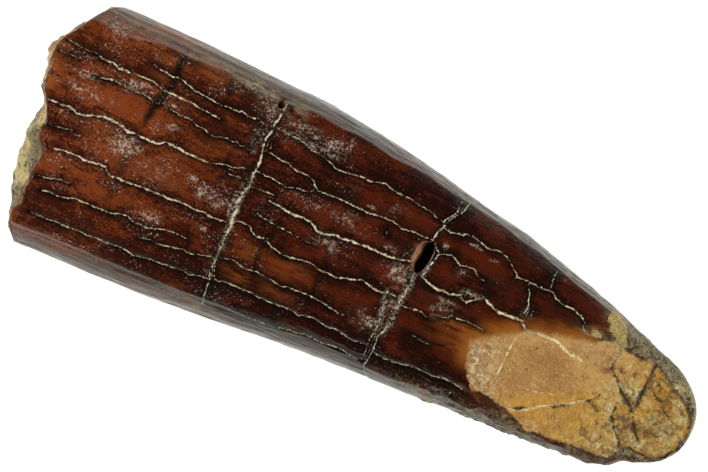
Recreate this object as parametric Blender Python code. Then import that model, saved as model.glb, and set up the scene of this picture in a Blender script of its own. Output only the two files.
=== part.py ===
"""Fossil tooth of a titanosaur, a long-necked plant-eating dinosaur.

The crown lies on its rounder outer side with the flatter inner side up. It is one solid: an enamel
crown with two cracks right across it, a small deep pit, a flat wear facet that runs to the tip, and
a broken base. X runs from the base to the tip, Y across the crown and Z up. The origin is under the
middle of the tooth, on the surface that it lies on.
"""
import math
from bisect import bisect_right

import bmesh
import bpy
from mathutils import Vector, noise

MM = 0.001

# The lengths below are in millimetres. X is counted from the broken base and Y from the middle line.
LENGTH = 29.6
TIP_ROUNDING_START = 27.6
TIP_SQUARENESS = 2.4

# Where the crown's two edges run, seen from above: (x, y).
LEFT_EDGE = ((0, 5.0), (2, 5.10), (5, 5.22), (9, 5.20), (10.4, 5.24), (13, 5.05), (16, 4.70), (18, 4.32),
             (20, 3.98), (22, 3.57), (24, 3.08), (26, 2.45), (27, 2.15), (28, 1.86), (LENGTH, 1.45))
RIGHT_EDGE = ((0, -5.35), (2, -5.25), (5, -5.05), (9.6, -4.68), (13, -4.27), (17, -3.95), (20, -3.70),
              (23, -3.46), (25, -3.26), (26.2, -3.16), (27, -2.93), (27.6, -2.48), (28.2, -2.30),
              (LENGTH, -2.05))

# The crown seen from the side: its highest line, the level where it is widest, and its lowest line.
# The lowest line dips under the surface, so that the tooth is cut flat where it lies.
TOP_LINE = ((0, 8.05), (8, 7.75), (16, 7.20), (20, 7.00), (24, 6.75), (27, 6.45), (LENGTH, 6.00))
WIDEST_LINE = ((0, 4.60), (8, 4.30), (16, 4.10), (20, 4.15), (24, 4.35), (27, 4.60), (LENGTH, 4.85))
LOWEST_LINE = ((0, 0.35), (4, -0.08), (10, -0.16), (15, -0.06), (18, 0.35), (22, 1.25), (26, 2.40),
               (LENGTH, 3.50))

# How square the cross-section is: 2 is an ellipse, and more is squarer.
TOP_LEFT_SQUARENESS = 2.7
TOP_RIGHT_SQUARENESS = 2.4
LOWER_SQUARENESS = 2.1

# The broken base seen from above: how far back it reaches, as (y, x), and how much further along
# the tooth the enamel's upper edge starts. The setback begins part of the way up from the widest level.
# The pulp hollow's sizes are fractions of the way from the middle of the base to its edge.
BASE_LINE = ((-5.3, 1.98), (-4.7, 1.58), (-4.2, 1.36), (-3.8, 1.22), (-3.4, 0.97), (-2.9, 0.81), (-1.9, 0.55),
             (-0.9, 0.45), (0.3, 0.38), (1.1, 0.28), (1.8, 0.18), (2.5, 0.10), (2.9, 0.20), (3.4, 0.52),
             (3.8, 0.74), (4.2, 0.95), (4.7, 1.32), (5.2, 1.95))
BASE_SETBACK = ((-5.3, 0.0), (-4.2, 0.10), (-3.7, 0.75), (-3.1, 0.80), (-2.4, 0.85), (-1.4, 1.05), (-0.9, 0.60),
                (-0.2, 0.62), (0.4, 0.36), (0.9, 0.12), (2.0, 0.06), (5.2, 0.0))
BASE_SETBACK_START = 0.5
BASE_UNDERCUT = 0.7
PULP_HOLLOW_DEPTH = 0.6
PULP_HOLLOW_INNER_SIZE = 0.15
PULP_HOLLOW_OUTER_SIZE = 0.75
BASE_ROUGHNESS = 0.22

# The two cracks across the crown, as (y, x), and how wide and deep they gape.
FIRST_CRACK = ((-5.3, 9.95), (-4.5, 9.88), (-3.8, 9.74), (-3.1, 9.64), (-2.2, 9.52), (-1.2, 9.50), (-0.6, 9.42),
               (0.1, 9.30), (0.9, 9.44), (1.7, 9.42), (2.3, 9.33), (2.9, 9.22), (3.6, 9.28), (4.4, 9.33),
               (5.3, 9.44))
SECOND_CRACK = ((-4.2, 17.00), (-3.6, 16.68), (-3.0, 16.68), (-2.3, 16.64), (-1.5, 16.84), (-0.5, 16.85),
                (0.4, 16.86), (1.4, 16.95), (2.1, 16.96), (2.7, 17.06), (3.1, 17.10), (3.6, 17.32),
                (4.6, 17.52))
CRACK_HALF_WIDTH = 0.2
CRACK_DEPTH = 0.15
CRACK_WANDER = 0.9

# The pit that opened where the second crack crosses the crown's inner side.
PIT_CENTRE_Y = 1.38
PIT_HALF_LENGTH = 0.68
PIT_DEPTH = 1.3

# The long cracks that sit in shallow valleys between gently domed plates of enamel: (x, y).
VALLEYS = (
    ((0.3, 2.97), (3, 2.91), (6, 2.86), (7.4, 2.77)),
    ((0.5, 0.45), (2.4, 0.56), (3.3, 0.82), (5.3, 0.78), (6, 0.98), (7.7, 1.0), (9.3, 1.15)),
    ((1.7, -1.20), (3.9, -0.98), (4.3, -1.2), (6, -1.03), (8, -0.93), (9.4, -0.76)),
    ((2.1, -2.93), (3.5, -2.64), (5, -2.56), (7, -2.84), (8.2, -2.6), (9.5, -2.38)),
    ((2.0, -3.85), (5, -3.7), (6.5, -3.67), (9.6, -3.2)),
    ((9.5, 2.46), (11.4, 2.3), (12, 1.93), (14, 2.0), (16.9, 2.15)),
    ((10.4, 0.67), (12.2, 0.66), (12.8, 0.42), (13.5, 0.62), (15.6, 0.77), (16.6, 0.98)),
    ((9.5, -0.6), (10.2, -0.57), (11.7, -1.03), (13, -0.84), (14.1, -0.92), (15.1, -0.54), (16.8, -0.53)),
    ((9.6, -2.2), (12.3, -2.2), (13.5, -2.04), (15.2, -2.12)),
    ((9.8, -3.08), (12.2, -2.98), (14.6, -2.82), (16.5, -2.8), (18, -2.9), (20.8, -2.69)),
    ((17.2, 2.8), (18.2, 3.0), (19.8, 2.87), (20.6, 2.35), (22.1, 2.4), (23.9, 1.8)),
    ((17.3, 0.6), (18.4, 0.48), (19.2, 0.75), (19.8, 0.98), (20.6, 0.73), (21.9, 0.6)),
)
VALLEY_HALF_WIDTH = 0.5
VALLEY_DEPTH = 0.07
VALLEY_RUN_OUT = 0.6

# The wear facet: a flat cut that starts on the inner side and runs out at the tip. It falls towards
# the tip and a little towards the right edge.
FACET_START = (20.0, -1.6, 6.79)
FACET_FALL_ALONG = 0.183
FACET_FALL_ACROSS = 0.177

ENAMEL_UNEVENNESS = 0.05
SHARP_ANGLE = math.radians(50)

# How fine the faceted solid is.
SIDES = 64
RINGS_BASE = 12
RINGS_TO_FIRST_CRACK = 16
RINGS_TO_SECOND_CRACK = 13
RINGS_TO_TIP = 18
RINGS_TIP = 8
CUT_SNAP = 0.01

ENAMEL_COLOUR = (0.105, 0.034, 0.014, 1.0)
ENAMEL_ROUGHNESS = 0.35


def line_at(points, x):
    """The smooth line through the points, read at x. Before the first and after the last it is level."""
    if x <= points[0][0]:
        return points[0][1]
    if x >= points[-1][0]:
        return points[-1][1]
    i = bisect_right([point[0] for point in points], x) - 1
    before, here = points[max(i - 1, 0)], points[i]
    there, after = points[i + 1], points[min(i + 2, len(points) - 1)]
    step = there[0] - here[0]
    slope_here = (there[1] - before[1]) / (there[0] - before[0])
    slope_there = (after[1] - here[1]) / (after[0] - here[0])
    t = (x - here[0]) / step
    return (here[1] * (1 + 2 * t) * (1 - t) ** 2 + there[1] * t * t * (3 - 2 * t)
            + step * t * (1 - t) * (slope_here * (1 - t) - slope_there * t))


def ease(t):
    """0 below 0, 1 above 1, and a smooth rise between them."""
    t = min(max(t, 0.0), 1.0)
    return t * t * (3 - 2 * t)


def unevenness(x, y, z, size, layers=2):
    """Smooth seeded bumps between about -1 and 1, with the given size in millimetres."""
    return noise.fractal(Vector((x, y, z)) / size, 1.0, 2.0, layers)


def tip_cap(x):
    """How far the cross-section has closed towards the rounded tip: 1 on the crown, 0 at the tip."""
    t = (x - TIP_ROUNDING_START) / (LENGTH - TIP_ROUNDING_START)
    if t <= 0:
        return 1.0
    return max(1 - min(t, 1.0) ** TIP_SQUARENESS, 0.0) ** (1 / TIP_SQUARENESS)


def section_point(x, angle):
    """A point of the smooth crown: angle 0 is its left edge and a quarter turn is its top."""
    left, right = line_at(LEFT_EDGE, x), line_at(RIGHT_EDGE, x)
    top, widest, lowest = (line_at(line, x) for line in (TOP_LINE, WIDEST_LINE, LOWEST_LINE))
    across, up = math.cos(angle), math.sin(angle)
    height = top - widest if up > 0 else widest - lowest
    squareness = LOWER_SQUARENESS
    if up > 0:
        squareness = TOP_LEFT_SQUARENESS if across > 0 else TOP_RIGHT_SQUARENESS
    half_width = (left - right) / 2
    reach = (abs(across / half_width) ** squareness + abs(up / height) ** squareness) ** (-1 / squareness)
    closing = tip_cap(x) * reach
    return Vector((x, (left + right) / 2 + closing * across, widest + closing * up))


def valley_depth(x, y):
    """How deep the shallow valleys along the long cracks are, on the crown's upper side."""
    depth = 0.0
    for valley in VALLEYS:
        if valley[0][0] < x < valley[-1][0]:
            distance = abs(y - line_at(valley, x)) / VALLEY_HALF_WIDTH
            from_end = min(x - valley[0][0], valley[-1][0] - x) / VALLEY_RUN_OUT
            depth = max(depth, VALLEY_DEPTH * (1 - ease(distance)) * ease(from_end))
    return depth


def base_x(y, z):
    """How far along the tooth the broken base lies, at this place across and up it."""
    widest = line_at(WIDEST_LINE, 0)
    up = (z - widest) / (line_at(TOP_LINE, 0) - widest)
    above = ease((up - BASE_SETBACK_START) / (1 - BASE_SETBACK_START))
    below = ease((widest - z) / (widest - line_at(LOWEST_LINE, 0)))
    return line_at(BASE_LINE, y) + line_at(BASE_SETBACK, y) * above + BASE_UNDERCUT * below


def surface_point(x, angle):
    """A point of the crown with its uneven enamel and its valleys."""
    point = section_point(x, angle)
    middle = Vector((x, (line_at(LEFT_EDGE, x) + line_at(RIGHT_EDGE, x)) / 2, line_at(WIDEST_LINE, x)))
    outward = (point - middle).normalized() if point != middle else Vector((0, 0, 0))
    rise = ENAMEL_UNEVENNESS * unevenness(point.x, point.y, point.z, 3.0)
    if math.sin(angle) > 0:
        rise -= valley_depth(point.x, point.y)
    return point + outward * rise


def base_edge_x(angle):
    """Where the enamel ends at the broken base, in the direction of the angle."""
    return base_x(*section_point(1.0, angle).yz)


def base_point(fraction, angle):
    """A point of the broken base, from its middle at fraction 0 out to the enamel's edge at 1."""
    edge = surface_point(base_edge_x(angle), angle)
    if fraction == 1:
        return edge
    middle_y = (line_at(LEFT_EDGE, 1) + line_at(RIGHT_EDGE, 1)) / 2
    middle_z = line_at(WIDEST_LINE, 0)
    y = middle_y + (edge.y - middle_y) * fraction
    z = middle_z + (edge.z - middle_z) * fraction
    outwards = (fraction - PULP_HOLLOW_INNER_SIZE) / (PULP_HOLLOW_OUTER_SIZE - PULP_HOLLOW_INNER_SIZE)
    hollow = PULP_HOLLOW_DEPTH * (1 - ease(outwards))
    rough = BASE_ROUGHNESS * unevenness(7.0, y, z, 2.2) * ease((1 - fraction) * 4)
    return Vector((base_x(y, z) + hollow + rough, y, z))


def crack_middle_x(crack, angle):
    """Where a crack crosses in the direction of the angle. On the hidden outer side it wanders."""
    point = section_point(line_at(crack, 0), angle)
    x = line_at(crack, point.y)
    if math.sin(angle) < 0:
        x += CRACK_WANDER * math.sin(angle) ** 2 * unevenness(x, point.y, point.z, 3.5)
    return x


def crack_bottom(crack, angle):
    """The bottom of a crack, and the floor of the pit where the second crack has opened."""
    x = crack_middle_x(crack, angle)
    point = surface_point(x, angle)
    middle = Vector((x, 0.0, line_at(WIDEST_LINE, x)))
    point += (middle - point).normalized() * CRACK_DEPTH
    in_pit = abs(point.y - PIT_CENTRE_Y) / PIT_HALF_LENGTH
    if crack is SECOND_CRACK and math.sin(angle) > 0 and in_pit < 1:
        point.z -= PIT_DEPTH * (1 - in_pit ** 4)
    return point


def crack_rings(crack):
    """The two lips of a crack with its bottom between them."""
    yield lambda angle: surface_point(crack_middle_x(crack, angle) + CRACK_HALF_WIDTH, angle)
    yield lambda angle: crack_bottom(crack, angle)
    yield lambda angle: surface_point(crack_middle_x(crack, angle) - CRACK_HALF_WIDTH, angle)


def crown_rings(start_x, end_x, count):
    """Rings that divide the crown evenly between two places, each a function of the angle."""
    for i in range(count - 1, 0, -1):
        yield lambda angle, t=i / count: surface_point(start_x(angle) * (1 - t) + end_x(angle) * t, angle)


def rings():
    """One function of the angle for each ring, from the tip to the base."""
    for i in range(1, RINGS_TIP + 1):
        x = TIP_ROUNDING_START + (LENGTH - TIP_ROUNDING_START) * math.cos(math.pi / 2 * i / RINGS_TIP)
        yield lambda angle, x=x: surface_point(x, angle)
    yield from crown_rings(lambda angle: crack_middle_x(SECOND_CRACK, angle) + CRACK_HALF_WIDTH,
                           lambda angle: TIP_ROUNDING_START, RINGS_TO_TIP)
    yield from crack_rings(SECOND_CRACK)
    yield from crown_rings(lambda angle: crack_middle_x(FIRST_CRACK, angle) + CRACK_HALF_WIDTH,
                           lambda angle: crack_middle_x(SECOND_CRACK, angle) - CRACK_HALF_WIDTH,
                           RINGS_TO_SECOND_CRACK)
    yield from crack_rings(FIRST_CRACK)
    yield from crown_rings(base_edge_x,
                           lambda angle: crack_middle_x(FIRST_CRACK, angle) - CRACK_HALF_WIDTH,
                           RINGS_TO_FIRST_CRACK)
    for i in range(RINGS_BASE):
        yield lambda angle, fraction=1 - i / RINGS_BASE: base_point(fraction, angle)


def cut_flat(bm, point, outward):
    """Cut off what lies beyond a plane, and close the cut with a flat face that has sharp edges."""
    everything = bm.verts[:] + bm.edges[:] + bm.faces[:]
    bmesh.ops.bisect_plane(bm, geom=everything, plane_co=point, plane_no=outward, dist=CUT_SNAP, clear_outer=True)
    cut = [edge for edge in bm.edges if edge.is_boundary]
    for vert in {vert for edge in cut for vert in edge.verts}:
        vert.co -= (vert.co - point).dot(outward) * outward
    bmesh.ops.holes_fill(bm, edges=cut, sides=0)
    for edge in cut:
        edge.smooth = False


def build_tooth():
    """A sphere whose rings are drawn out along the tooth, cut flat by the facet and where it lies."""
    places = list(rings())
    bm = bmesh.new()
    bmesh.ops.create_uvsphere(bm, u_segments=SIDES, v_segments=len(places) + 1, radius=1.0)
    for vert in bm.verts:
        ring = round(math.acos(max(-1.0, min(1.0, vert.co.z))) / math.pi * (len(places) + 1))
        angle = math.atan2(vert.co.y, vert.co.x) + math.pi / SIDES
        if ring == 0:
            vert.co = section_point(LENGTH, 0.0)
        elif ring == len(places) + 1:
            vert.co = base_point(0.0, 0.0)
        else:
            vert.co = places[ring - 1](angle)
    for edge in bm.edges:
        edge.smooth = edge.calc_face_angle() < SHARP_ANGLE
    cut_flat(bm, Vector((0, 0, 0)), Vector((0, 0, -1)))
    facet_normal = Vector((FACET_FALL_ALONG, -FACET_FALL_ACROSS, 1)).normalized()
    cut_flat(bm, Vector(FACET_START), facet_normal)
    bmesh.ops.triangulate(bm, faces=[face for face in bm.faces if len(face.verts) > 4])
    for face in bm.faces:
        face.smooth = True
    return bm


def centre_over_origin(bm):
    """Put the middle of the tooth over the origin, and bring millimetres to metres."""
    xs, ys, zs = zip(*(vert.co for vert in bm.verts))
    middle = Vector(((min(xs) + max(xs)) / 2, (min(ys) + max(ys)) / 2, min(zs)))
    bmesh.ops.translate(bm, verts=bm.verts, vec=-middle)
    bmesh.ops.scale(bm, verts=bm.verts, vec=(MM, MM, MM))


def enamel_material():
    """Brown fossil enamel with a soft gloss."""
    material = bpy.data.materials.new("fossil_enamel")
    material.use_nodes = True
    shader = material.node_tree.nodes["Principled BSDF"]
    shader.inputs["Base Color"].default_value = ENAMEL_COLOUR
    shader.inputs["Roughness"].default_value = ENAMEL_ROUGHNESS
    shader.inputs["Metallic"].default_value = 0.0
    return material


def main():
    """Clear the scene and add the tooth."""
    for old in list(bpy.data.objects):
        bpy.data.objects.remove(old, do_unlink=True)
    bm = build_tooth()
    centre_over_origin(bm)
    mesh = bpy.data.meshes.new("tooth")
    bm.to_mesh(mesh)
    bm.free()
    mesh.materials.append(enamel_material())
    bpy.context.scene.collection.objects.link(bpy.data.objects.new("tooth", mesh))


main()
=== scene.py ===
# %% [markdown]
# # A dinosaur's tooth, turned to stone
# The object is a single fossil: the crown of a plant eater's tooth, lying on its rounder outer side.
# Everything is one body of brown enamel, so there is nothing to assemble. What makes it look real is
# its surface: a net of cracks filled with pale sediment, a flat wear facet at the tip, a broken base
# and a soft gloss. This lesson rolls one fine mesh into the crown, carves it, writes down on its
# points where each mark lies, and lets one material read those notes.

# %% Open the model
import math
import random

import bmesh
import bpy
import numpy as np
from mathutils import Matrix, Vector, noise

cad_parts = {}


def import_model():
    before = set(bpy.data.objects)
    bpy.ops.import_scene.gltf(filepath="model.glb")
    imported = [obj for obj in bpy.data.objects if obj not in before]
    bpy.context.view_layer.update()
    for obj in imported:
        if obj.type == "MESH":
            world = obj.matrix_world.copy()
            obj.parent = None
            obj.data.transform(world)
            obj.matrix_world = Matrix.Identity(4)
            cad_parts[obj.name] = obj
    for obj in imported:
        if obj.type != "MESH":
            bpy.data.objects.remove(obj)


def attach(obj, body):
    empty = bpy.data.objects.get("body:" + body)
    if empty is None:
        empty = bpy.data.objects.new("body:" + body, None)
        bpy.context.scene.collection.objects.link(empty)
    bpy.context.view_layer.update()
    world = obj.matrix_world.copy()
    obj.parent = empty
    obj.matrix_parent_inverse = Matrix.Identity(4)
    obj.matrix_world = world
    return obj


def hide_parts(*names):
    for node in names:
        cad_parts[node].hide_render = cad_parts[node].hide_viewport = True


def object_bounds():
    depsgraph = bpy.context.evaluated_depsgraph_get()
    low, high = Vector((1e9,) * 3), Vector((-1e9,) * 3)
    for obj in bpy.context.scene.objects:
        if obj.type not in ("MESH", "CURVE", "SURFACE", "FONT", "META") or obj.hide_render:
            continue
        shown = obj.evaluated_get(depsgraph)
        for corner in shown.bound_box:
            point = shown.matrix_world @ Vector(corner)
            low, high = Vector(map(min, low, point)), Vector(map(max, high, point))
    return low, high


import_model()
cad_low, cad_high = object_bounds()
print("the solid measures", [round(side * 1000, 2) for side in cad_high - cad_low], "mm")

# %% [markdown]
# ## Camera, light and floor
# The photograph looks straight down from far away, with the tooth turned so that its tip points down
# to the right. A long lens from a distance keeps the edges parallel. The number of pixels that the
# picture gives to each millimetre sets the lens.

# %% Where things are, in millimetres along and across the tooth
MM = 0.001
LENGTH = 29.6
MIDDLE_ACROSS = 0.0046
MIDDLE = Vector((LENGTH - cad_high.x / MM, MIDDLE_ACROSS, 0.0))


def world(x, y, z=0.0):
    """The world place, in metres, of a place given in millimetres from the broken base."""
    return (Vector((x, y, z)) - MIDDLE) * MM


print("the base is at x =", round(world(0, 0).x / MM, 2), "mm")

# %% The camera
PICTURE_WIDTH = 708
PIXELS_PER_MM = 25.0
TURN = math.radians(26.0)
CAMERA_HEIGHT = 0.42
LOOKED_AT = (14.053, 0.906, 4.2)
SENSOR_WIDTH = 36.0

camera_data = bpy.data.cameras.new("camera")
camera = bpy.data.objects.new("camera", camera_data)
bpy.context.scene.collection.objects.link(camera)
camera.location = world(*LOOKED_AT) + Vector((0, 0, CAMERA_HEIGHT))
camera.rotation_euler = (0, 0, TURN)
camera_data.sensor_width = SENSOR_WIDTH
camera_data.lens = SENSOR_WIDTH * CAMERA_HEIGHT / (PICTURE_WIDTH / PIXELS_PER_MM * MM)
camera_data.clip_start = 0.01
camera_data.clip_end = 10.0
bpy.context.scene.camera = camera
print("lens", round(camera_data.lens), "mm")

# %% [markdown]
# Polished enamel mirrors whatever stands around it. The floor is a glowing white table, and it is what
# the steep sides of the tooth mirror: that gives the grey bands along both edges. Two soft boxes stand
# low beyond the tooth's two ends, where its flat side can't mirror them, so that the brown stays deep.

# %% The floor
FLOOR_GLOW = 0.92
FLOOR_SIZE = 3.0
FLOOR_DROP = 0.00002
MIRRORED_GLOW = (0.97, 1.0, 0.86, 1)

floor_mesh = bpy.data.meshes.new("floor")
bm = bmesh.new()
bmesh.ops.create_grid(bm, x_segments=1, y_segments=1, size=FLOOR_SIZE)
bmesh.ops.translate(bm, verts=bm.verts, vec=(0, 0, -FLOOR_DROP))
bm.to_mesh(floor_mesh)
bm.free()
floor = bpy.data.objects.new("floor", floor_mesh)
bpy.context.scene.collection.objects.link(floor)
floor_material = bpy.data.materials.new("glowing_table")
floor_material.use_nodes = True
floor_shader = floor_material.node_tree.nodes["Principled BSDF"]
floor_shader.inputs["Base Color"].default_value = (0.2, 0.2, 0.2, 1)
floor_shader.inputs["Roughness"].default_value = 1.0
floor_shader.inputs["Emission Strength"].default_value = FLOOR_GLOW
floor_tree = floor_material.node_tree
floor_rays = floor_tree.nodes.new("ShaderNodeLightPath")
glow_colour = floor_tree.nodes.new("ShaderNodeMix")
glow_colour.data_type = "RGBA"
glow_colour.inputs[6].default_value = MIRRORED_GLOW
glow_colour.inputs[7].default_value = (1, 1, 1, 1)
floor_tree.links.new(floor_rays.outputs["Is Camera Ray"], glow_colour.inputs[0])
floor_tree.links.new(glow_colour.outputs[2], floor_shader.inputs["Emission Color"])
floor_mesh.materials.append(floor_material)
print("the floor reaches", FLOOR_SIZE, "m each way")

# %% The pale room around the tooth
ROOM_LIGHT = 0.06

surroundings = bpy.data.worlds.new("surroundings")
bpy.context.scene.world = surroundings
surroundings.use_nodes = True
sky = surroundings.node_tree
room_rays = sky.nodes.new("ShaderNodeLightPath")
seen = sky.nodes.new("ShaderNodeBackground")
mixed = sky.nodes.new("ShaderNodeMixShader")
room = sky.nodes["Background"]
for background, strength in ((room, ROOM_LIGHT), (seen, 1.0)):
    background.inputs["Color"].default_value = (1, 1, 1, 1)
    background.inputs["Strength"].default_value = strength
sky.links.new(room_rays.outputs["Is Camera Ray"], mixed.inputs["Fac"])
sky.links.new(room.outputs["Background"], mixed.inputs[1])
sky.links.new(seen.outputs["Background"], mixed.inputs[2])
sky.links.new(mixed.outputs["Shader"], sky.nodes["World Output"].inputs["Surface"])
print("floor glow:", FLOOR_GLOW, "room light:", ROOM_LIGHT)

# %% The soft boxes
bpy.context.scene.view_settings.view_transform = "Standard"


def soft_box(name, direction, elevation, distance, width, height, power):
    """A rectangular lamp that looks at the middle of the tooth. The direction is in degrees from +X."""
    turn, rise = math.radians(direction), math.radians(elevation)
    data = bpy.data.lights.new(name, "AREA")
    data.shape = "RECTANGLE"
    data.size, data.size_y = width, height
    data.energy = power
    lamp = bpy.data.objects.new(name, data)
    way = Vector((math.cos(turn) * math.cos(rise), math.sin(turn) * math.cos(rise), math.sin(rise)))
    lamp.location = way * distance
    lamp.rotation_mode = "QUATERNION"
    lamp.rotation_quaternion = way.to_track_quat("Z", "Y")
    bpy.context.scene.collection.objects.link(lamp)


BOX_DISTANCE, BOX_WIDTH, BOX_HEIGHT = 0.5, 0.36, 0.3
soft_box("box_beyond_the_base", 172, 25, BOX_DISTANCE, BOX_WIDTH, BOX_HEIGHT, 3.7)
soft_box("box_beyond_the_tip", -4, 24, BOX_DISTANCE, BOX_WIDTH, BOX_HEIGHT, 3.2)

# %% [markdown]
# ## The crown's shape
# Seen from above, the crown has a left and a right edge. Seen from the side, it has a highest line, a
# level where it is widest, and a lowest line. Each is a smooth line through a few chosen points. They
# are the same lines that the solid was made from, so the fine skin lies on the solid.


# %% Smooth lines through chosen points
def smooth_line(points):
    """A function that reads the smooth line through the points, level beyond its two ends."""
    xs, ys = np.array(points, float).T
    last = len(xs) - 1
    before = np.maximum(np.arange(last + 1) - 1, 0)
    after = np.minimum(np.arange(last + 1) + 1, last)
    slopes = (ys[after] - ys[before]) / (xs[after] - xs[before])

    def read(x):
        x = np.clip(x, xs[0], xs[-1])
        i = np.clip(np.searchsorted(xs, x, side="right") - 1, 0, last - 1)
        step = xs[i + 1] - xs[i]
        t = (x - xs[i]) / step
        bend = step * t * (1 - t) * (slopes[i] * (1 - t) - slopes[i + 1] * t)
        return ys[i] * (1 + 2 * t) * (1 - t) ** 2 + ys[i + 1] * t * t * (3 - 2 * t) + bend

    return read


def ease(t):
    """0 below 0, 1 above 1, and a smooth rise between them."""
    t = np.clip(t, 0.0, 1.0)
    return t * t * (3 - 2 * t)


def soft_step(value, width):
    """0 well below 0 and 1 well above it, with a smooth rise of this width between them."""
    return ease(value / width + 0.5)


def bumps(places, size, layers=2):
    """Smooth seeded bumps between about -1 and 1. The size is in millimetres, one or three of them."""
    scaled = places / np.array(size, float)
    return np.array([noise.fractal(place, 1.0, 2.0, layers) for place in scaled.tolist()])


left_edge = smooth_line(((0, 5.0), (2, 5.10), (5, 5.22), (9, 5.20), (10.4, 5.24), (13, 5.05), (16, 4.70),
                         (18, 4.32), (20, 3.98), (22, 3.57), (24, 3.08), (26, 2.45), (27, 2.15), (28, 1.86),
                         (LENGTH, 1.45)))
right_edge = smooth_line(((0, -5.35), (2, -5.25), (5, -5.05), (9.6, -4.68), (13, -4.27), (17, -3.95),
                          (20, -3.70), (23, -3.46), (25, -3.26), (26.2, -3.16), (27, -2.93), (27.6, -2.48),
                          (28.2, -2.30), (LENGTH, -2.05)))
highest = smooth_line(((0, 8.05), (8, 7.75), (16, 7.20), (20, 7.00), (24, 6.75), (27, 6.45), (LENGTH, 6.00)))
widest = smooth_line(((0, 4.60), (8, 4.30), (16, 4.10), (20, 4.15), (24, 4.35), (27, 4.60), (LENGTH, 4.85)))
lowest = smooth_line(((0, 0.35), (4, -0.08), (10, -0.16), (15, -0.06), (18, 0.35), (22, 1.25), (26, 2.40),
                      (LENGTH, 3.50)))
print("width at 5 mm from the base:", float(left_edge(5) - right_edge(5)), "mm")

# %% The cross-section
TIP_ROUNDING_START = 27.6
TIP_SQUARENESS = 2.4
TOP_LEFT_SQUARENESS, TOP_RIGHT_SQUARENESS, LOWER_SQUARENESS = 2.7, 2.4, 2.1


def tip_cap(x):
    """How far the cross-section has closed towards the rounded tip: 1 on the crown, 0 at the tip."""
    t = np.clip((x - TIP_ROUNDING_START) / (LENGTH - TIP_ROUNDING_START), 0, 1)
    return np.maximum(1 - t**TIP_SQUARENESS, 0) ** (1 / TIP_SQUARENESS)


def section(x, angle):
    """Places on the smooth crown: angle 0 is its left edge and a quarter turn is its top."""
    across, up = np.cos(angle), np.sin(angle)
    half_width = (left_edge(x) - right_edge(x)) / 2
    height = np.where(up > 0, highest(x) - widest(x), widest(x) - lowest(x))
    power = np.where(up > 0, np.where(across > 0, TOP_LEFT_SQUARENESS, TOP_RIGHT_SQUARENESS), LOWER_SQUARENESS)
    reach = (np.abs(across / half_width) ** power + np.abs(up / height) ** power) ** (-1 / power)
    closing = tip_cap(x) * reach
    middle = (left_edge(x) + right_edge(x)) / 2
    return np.stack((x + 0 * closing, middle + closing * across, widest(x) + closing * up), axis=-1)


def on_inner_side(x, y):
    """The place on the smooth upper side that lies at this distance along and across the tooth."""
    x, y = np.asarray(x, float), np.asarray(y, float)
    cap = np.maximum(tip_cap(x), 0.05)
    out = (y - (left_edge(x) + right_edge(x)) / 2) / ((left_edge(x) - right_edge(x)) / 2) / cap
    power = np.where(out > 0, TOP_LEFT_SQUARENESS, TOP_RIGHT_SQUARENESS)
    rise = np.maximum(1 - np.minimum(np.abs(out), 1) ** power, 0) ** (1 / power)
    return np.stack((x, y, widest(x) + (highest(x) - widest(x)) * cap * rise), axis=-1)


print("highest point at 5 mm:", on_inner_side(5.0, 0.0).round(2))

# %% [markdown]
# The base is a fresh-looking break, so its outline is ragged, and the enamel on the upper side starts a
# little further along than the stony inside does. Two cracks run right round the crown. On the hidden
# side, which no photograph shows, they wander.

# %% The broken base and the two cross cracks
base_line = smooth_line(((-5.3, 1.98), (-4.7, 1.58), (-4.2, 1.36), (-3.8, 1.22), (-3.4, 0.97), (-2.9, 0.81),
                         (-1.9, 0.55), (-0.9, 0.45), (0.3, 0.38), (1.1, 0.28), (1.8, 0.18), (2.5, 0.10),
                         (2.9, 0.20), (3.4, 0.52), (3.8, 0.74), (4.2, 0.95), (4.7, 1.32), (5.2, 1.95)))
base_setback = smooth_line(((-5.3, 0.0), (-4.2, 0.10), (-3.7, 0.75), (-3.1, 0.80), (-2.4, 0.85), (-1.4, 1.05),
                            (-0.9, 0.60), (-0.2, 0.62), (0.4, 0.36), (0.9, 0.12), (2.0, 0.06), (5.2, 0.0)))
first_crack = smooth_line(((-5.3, 9.95), (-4.5, 9.88), (-3.8, 9.74), (-3.1, 9.64), (-2.2, 9.52), (-1.2, 9.50),
                           (-0.6, 9.42), (0.1, 9.30), (0.9, 9.44), (1.7, 9.42), (2.3, 9.33), (2.9, 9.22),
                           (3.6, 9.28), (4.4, 9.33), (5.3, 9.44)))
second_crack = smooth_line(((-4.2, 17.00), (-3.6, 16.68), (-3.0, 16.68), (-2.3, 16.64), (-1.5, 16.84),
                            (-0.5, 16.85), (0.4, 16.86), (1.4, 16.95), (2.1, 16.96), (2.7, 17.06), (3.1, 17.10),
                            (3.6, 17.32), (4.6, 17.52)))
CRACK_WANDER, WANDER_SIZE = 0.9, 3.5
BASE_UNDERCUT = 0.7
BASE_SETBACK_START = 0.5


def base_x(y, z):
    """How far along the tooth the break lies, at this place across and up it."""
    middle = widest(0)
    above = ease(((z - middle) / (highest(0) - middle) - BASE_SETBACK_START) / (1 - BASE_SETBACK_START))
    below = ease((middle - z) / (middle - lowest(0)))
    return base_line(y) + base_setback(y) * above + BASE_UNDERCUT * below


def base_edge_x(angle):
    """Where the enamel ends at the break, in the direction of the angle."""
    place = section(np.ones_like(angle), angle)
    return base_x(place[..., 1], place[..., 2])


def cross_crack_x(crack, angle):
    """Where a cross crack runs, in the direction of the angle."""
    place = section(crack(0.0) + 0 * angle, angle)
    x = crack(place[..., 1])
    place[..., 0] = x
    hidden = np.minimum(np.sin(angle), 0) ** 2
    return x + CRACK_WANDER * hidden * bumps(place, WANDER_SIZE)


print("the cross cracks start at", float(first_crack(0)), "and", float(second_crack(0)), "mm")

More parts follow.
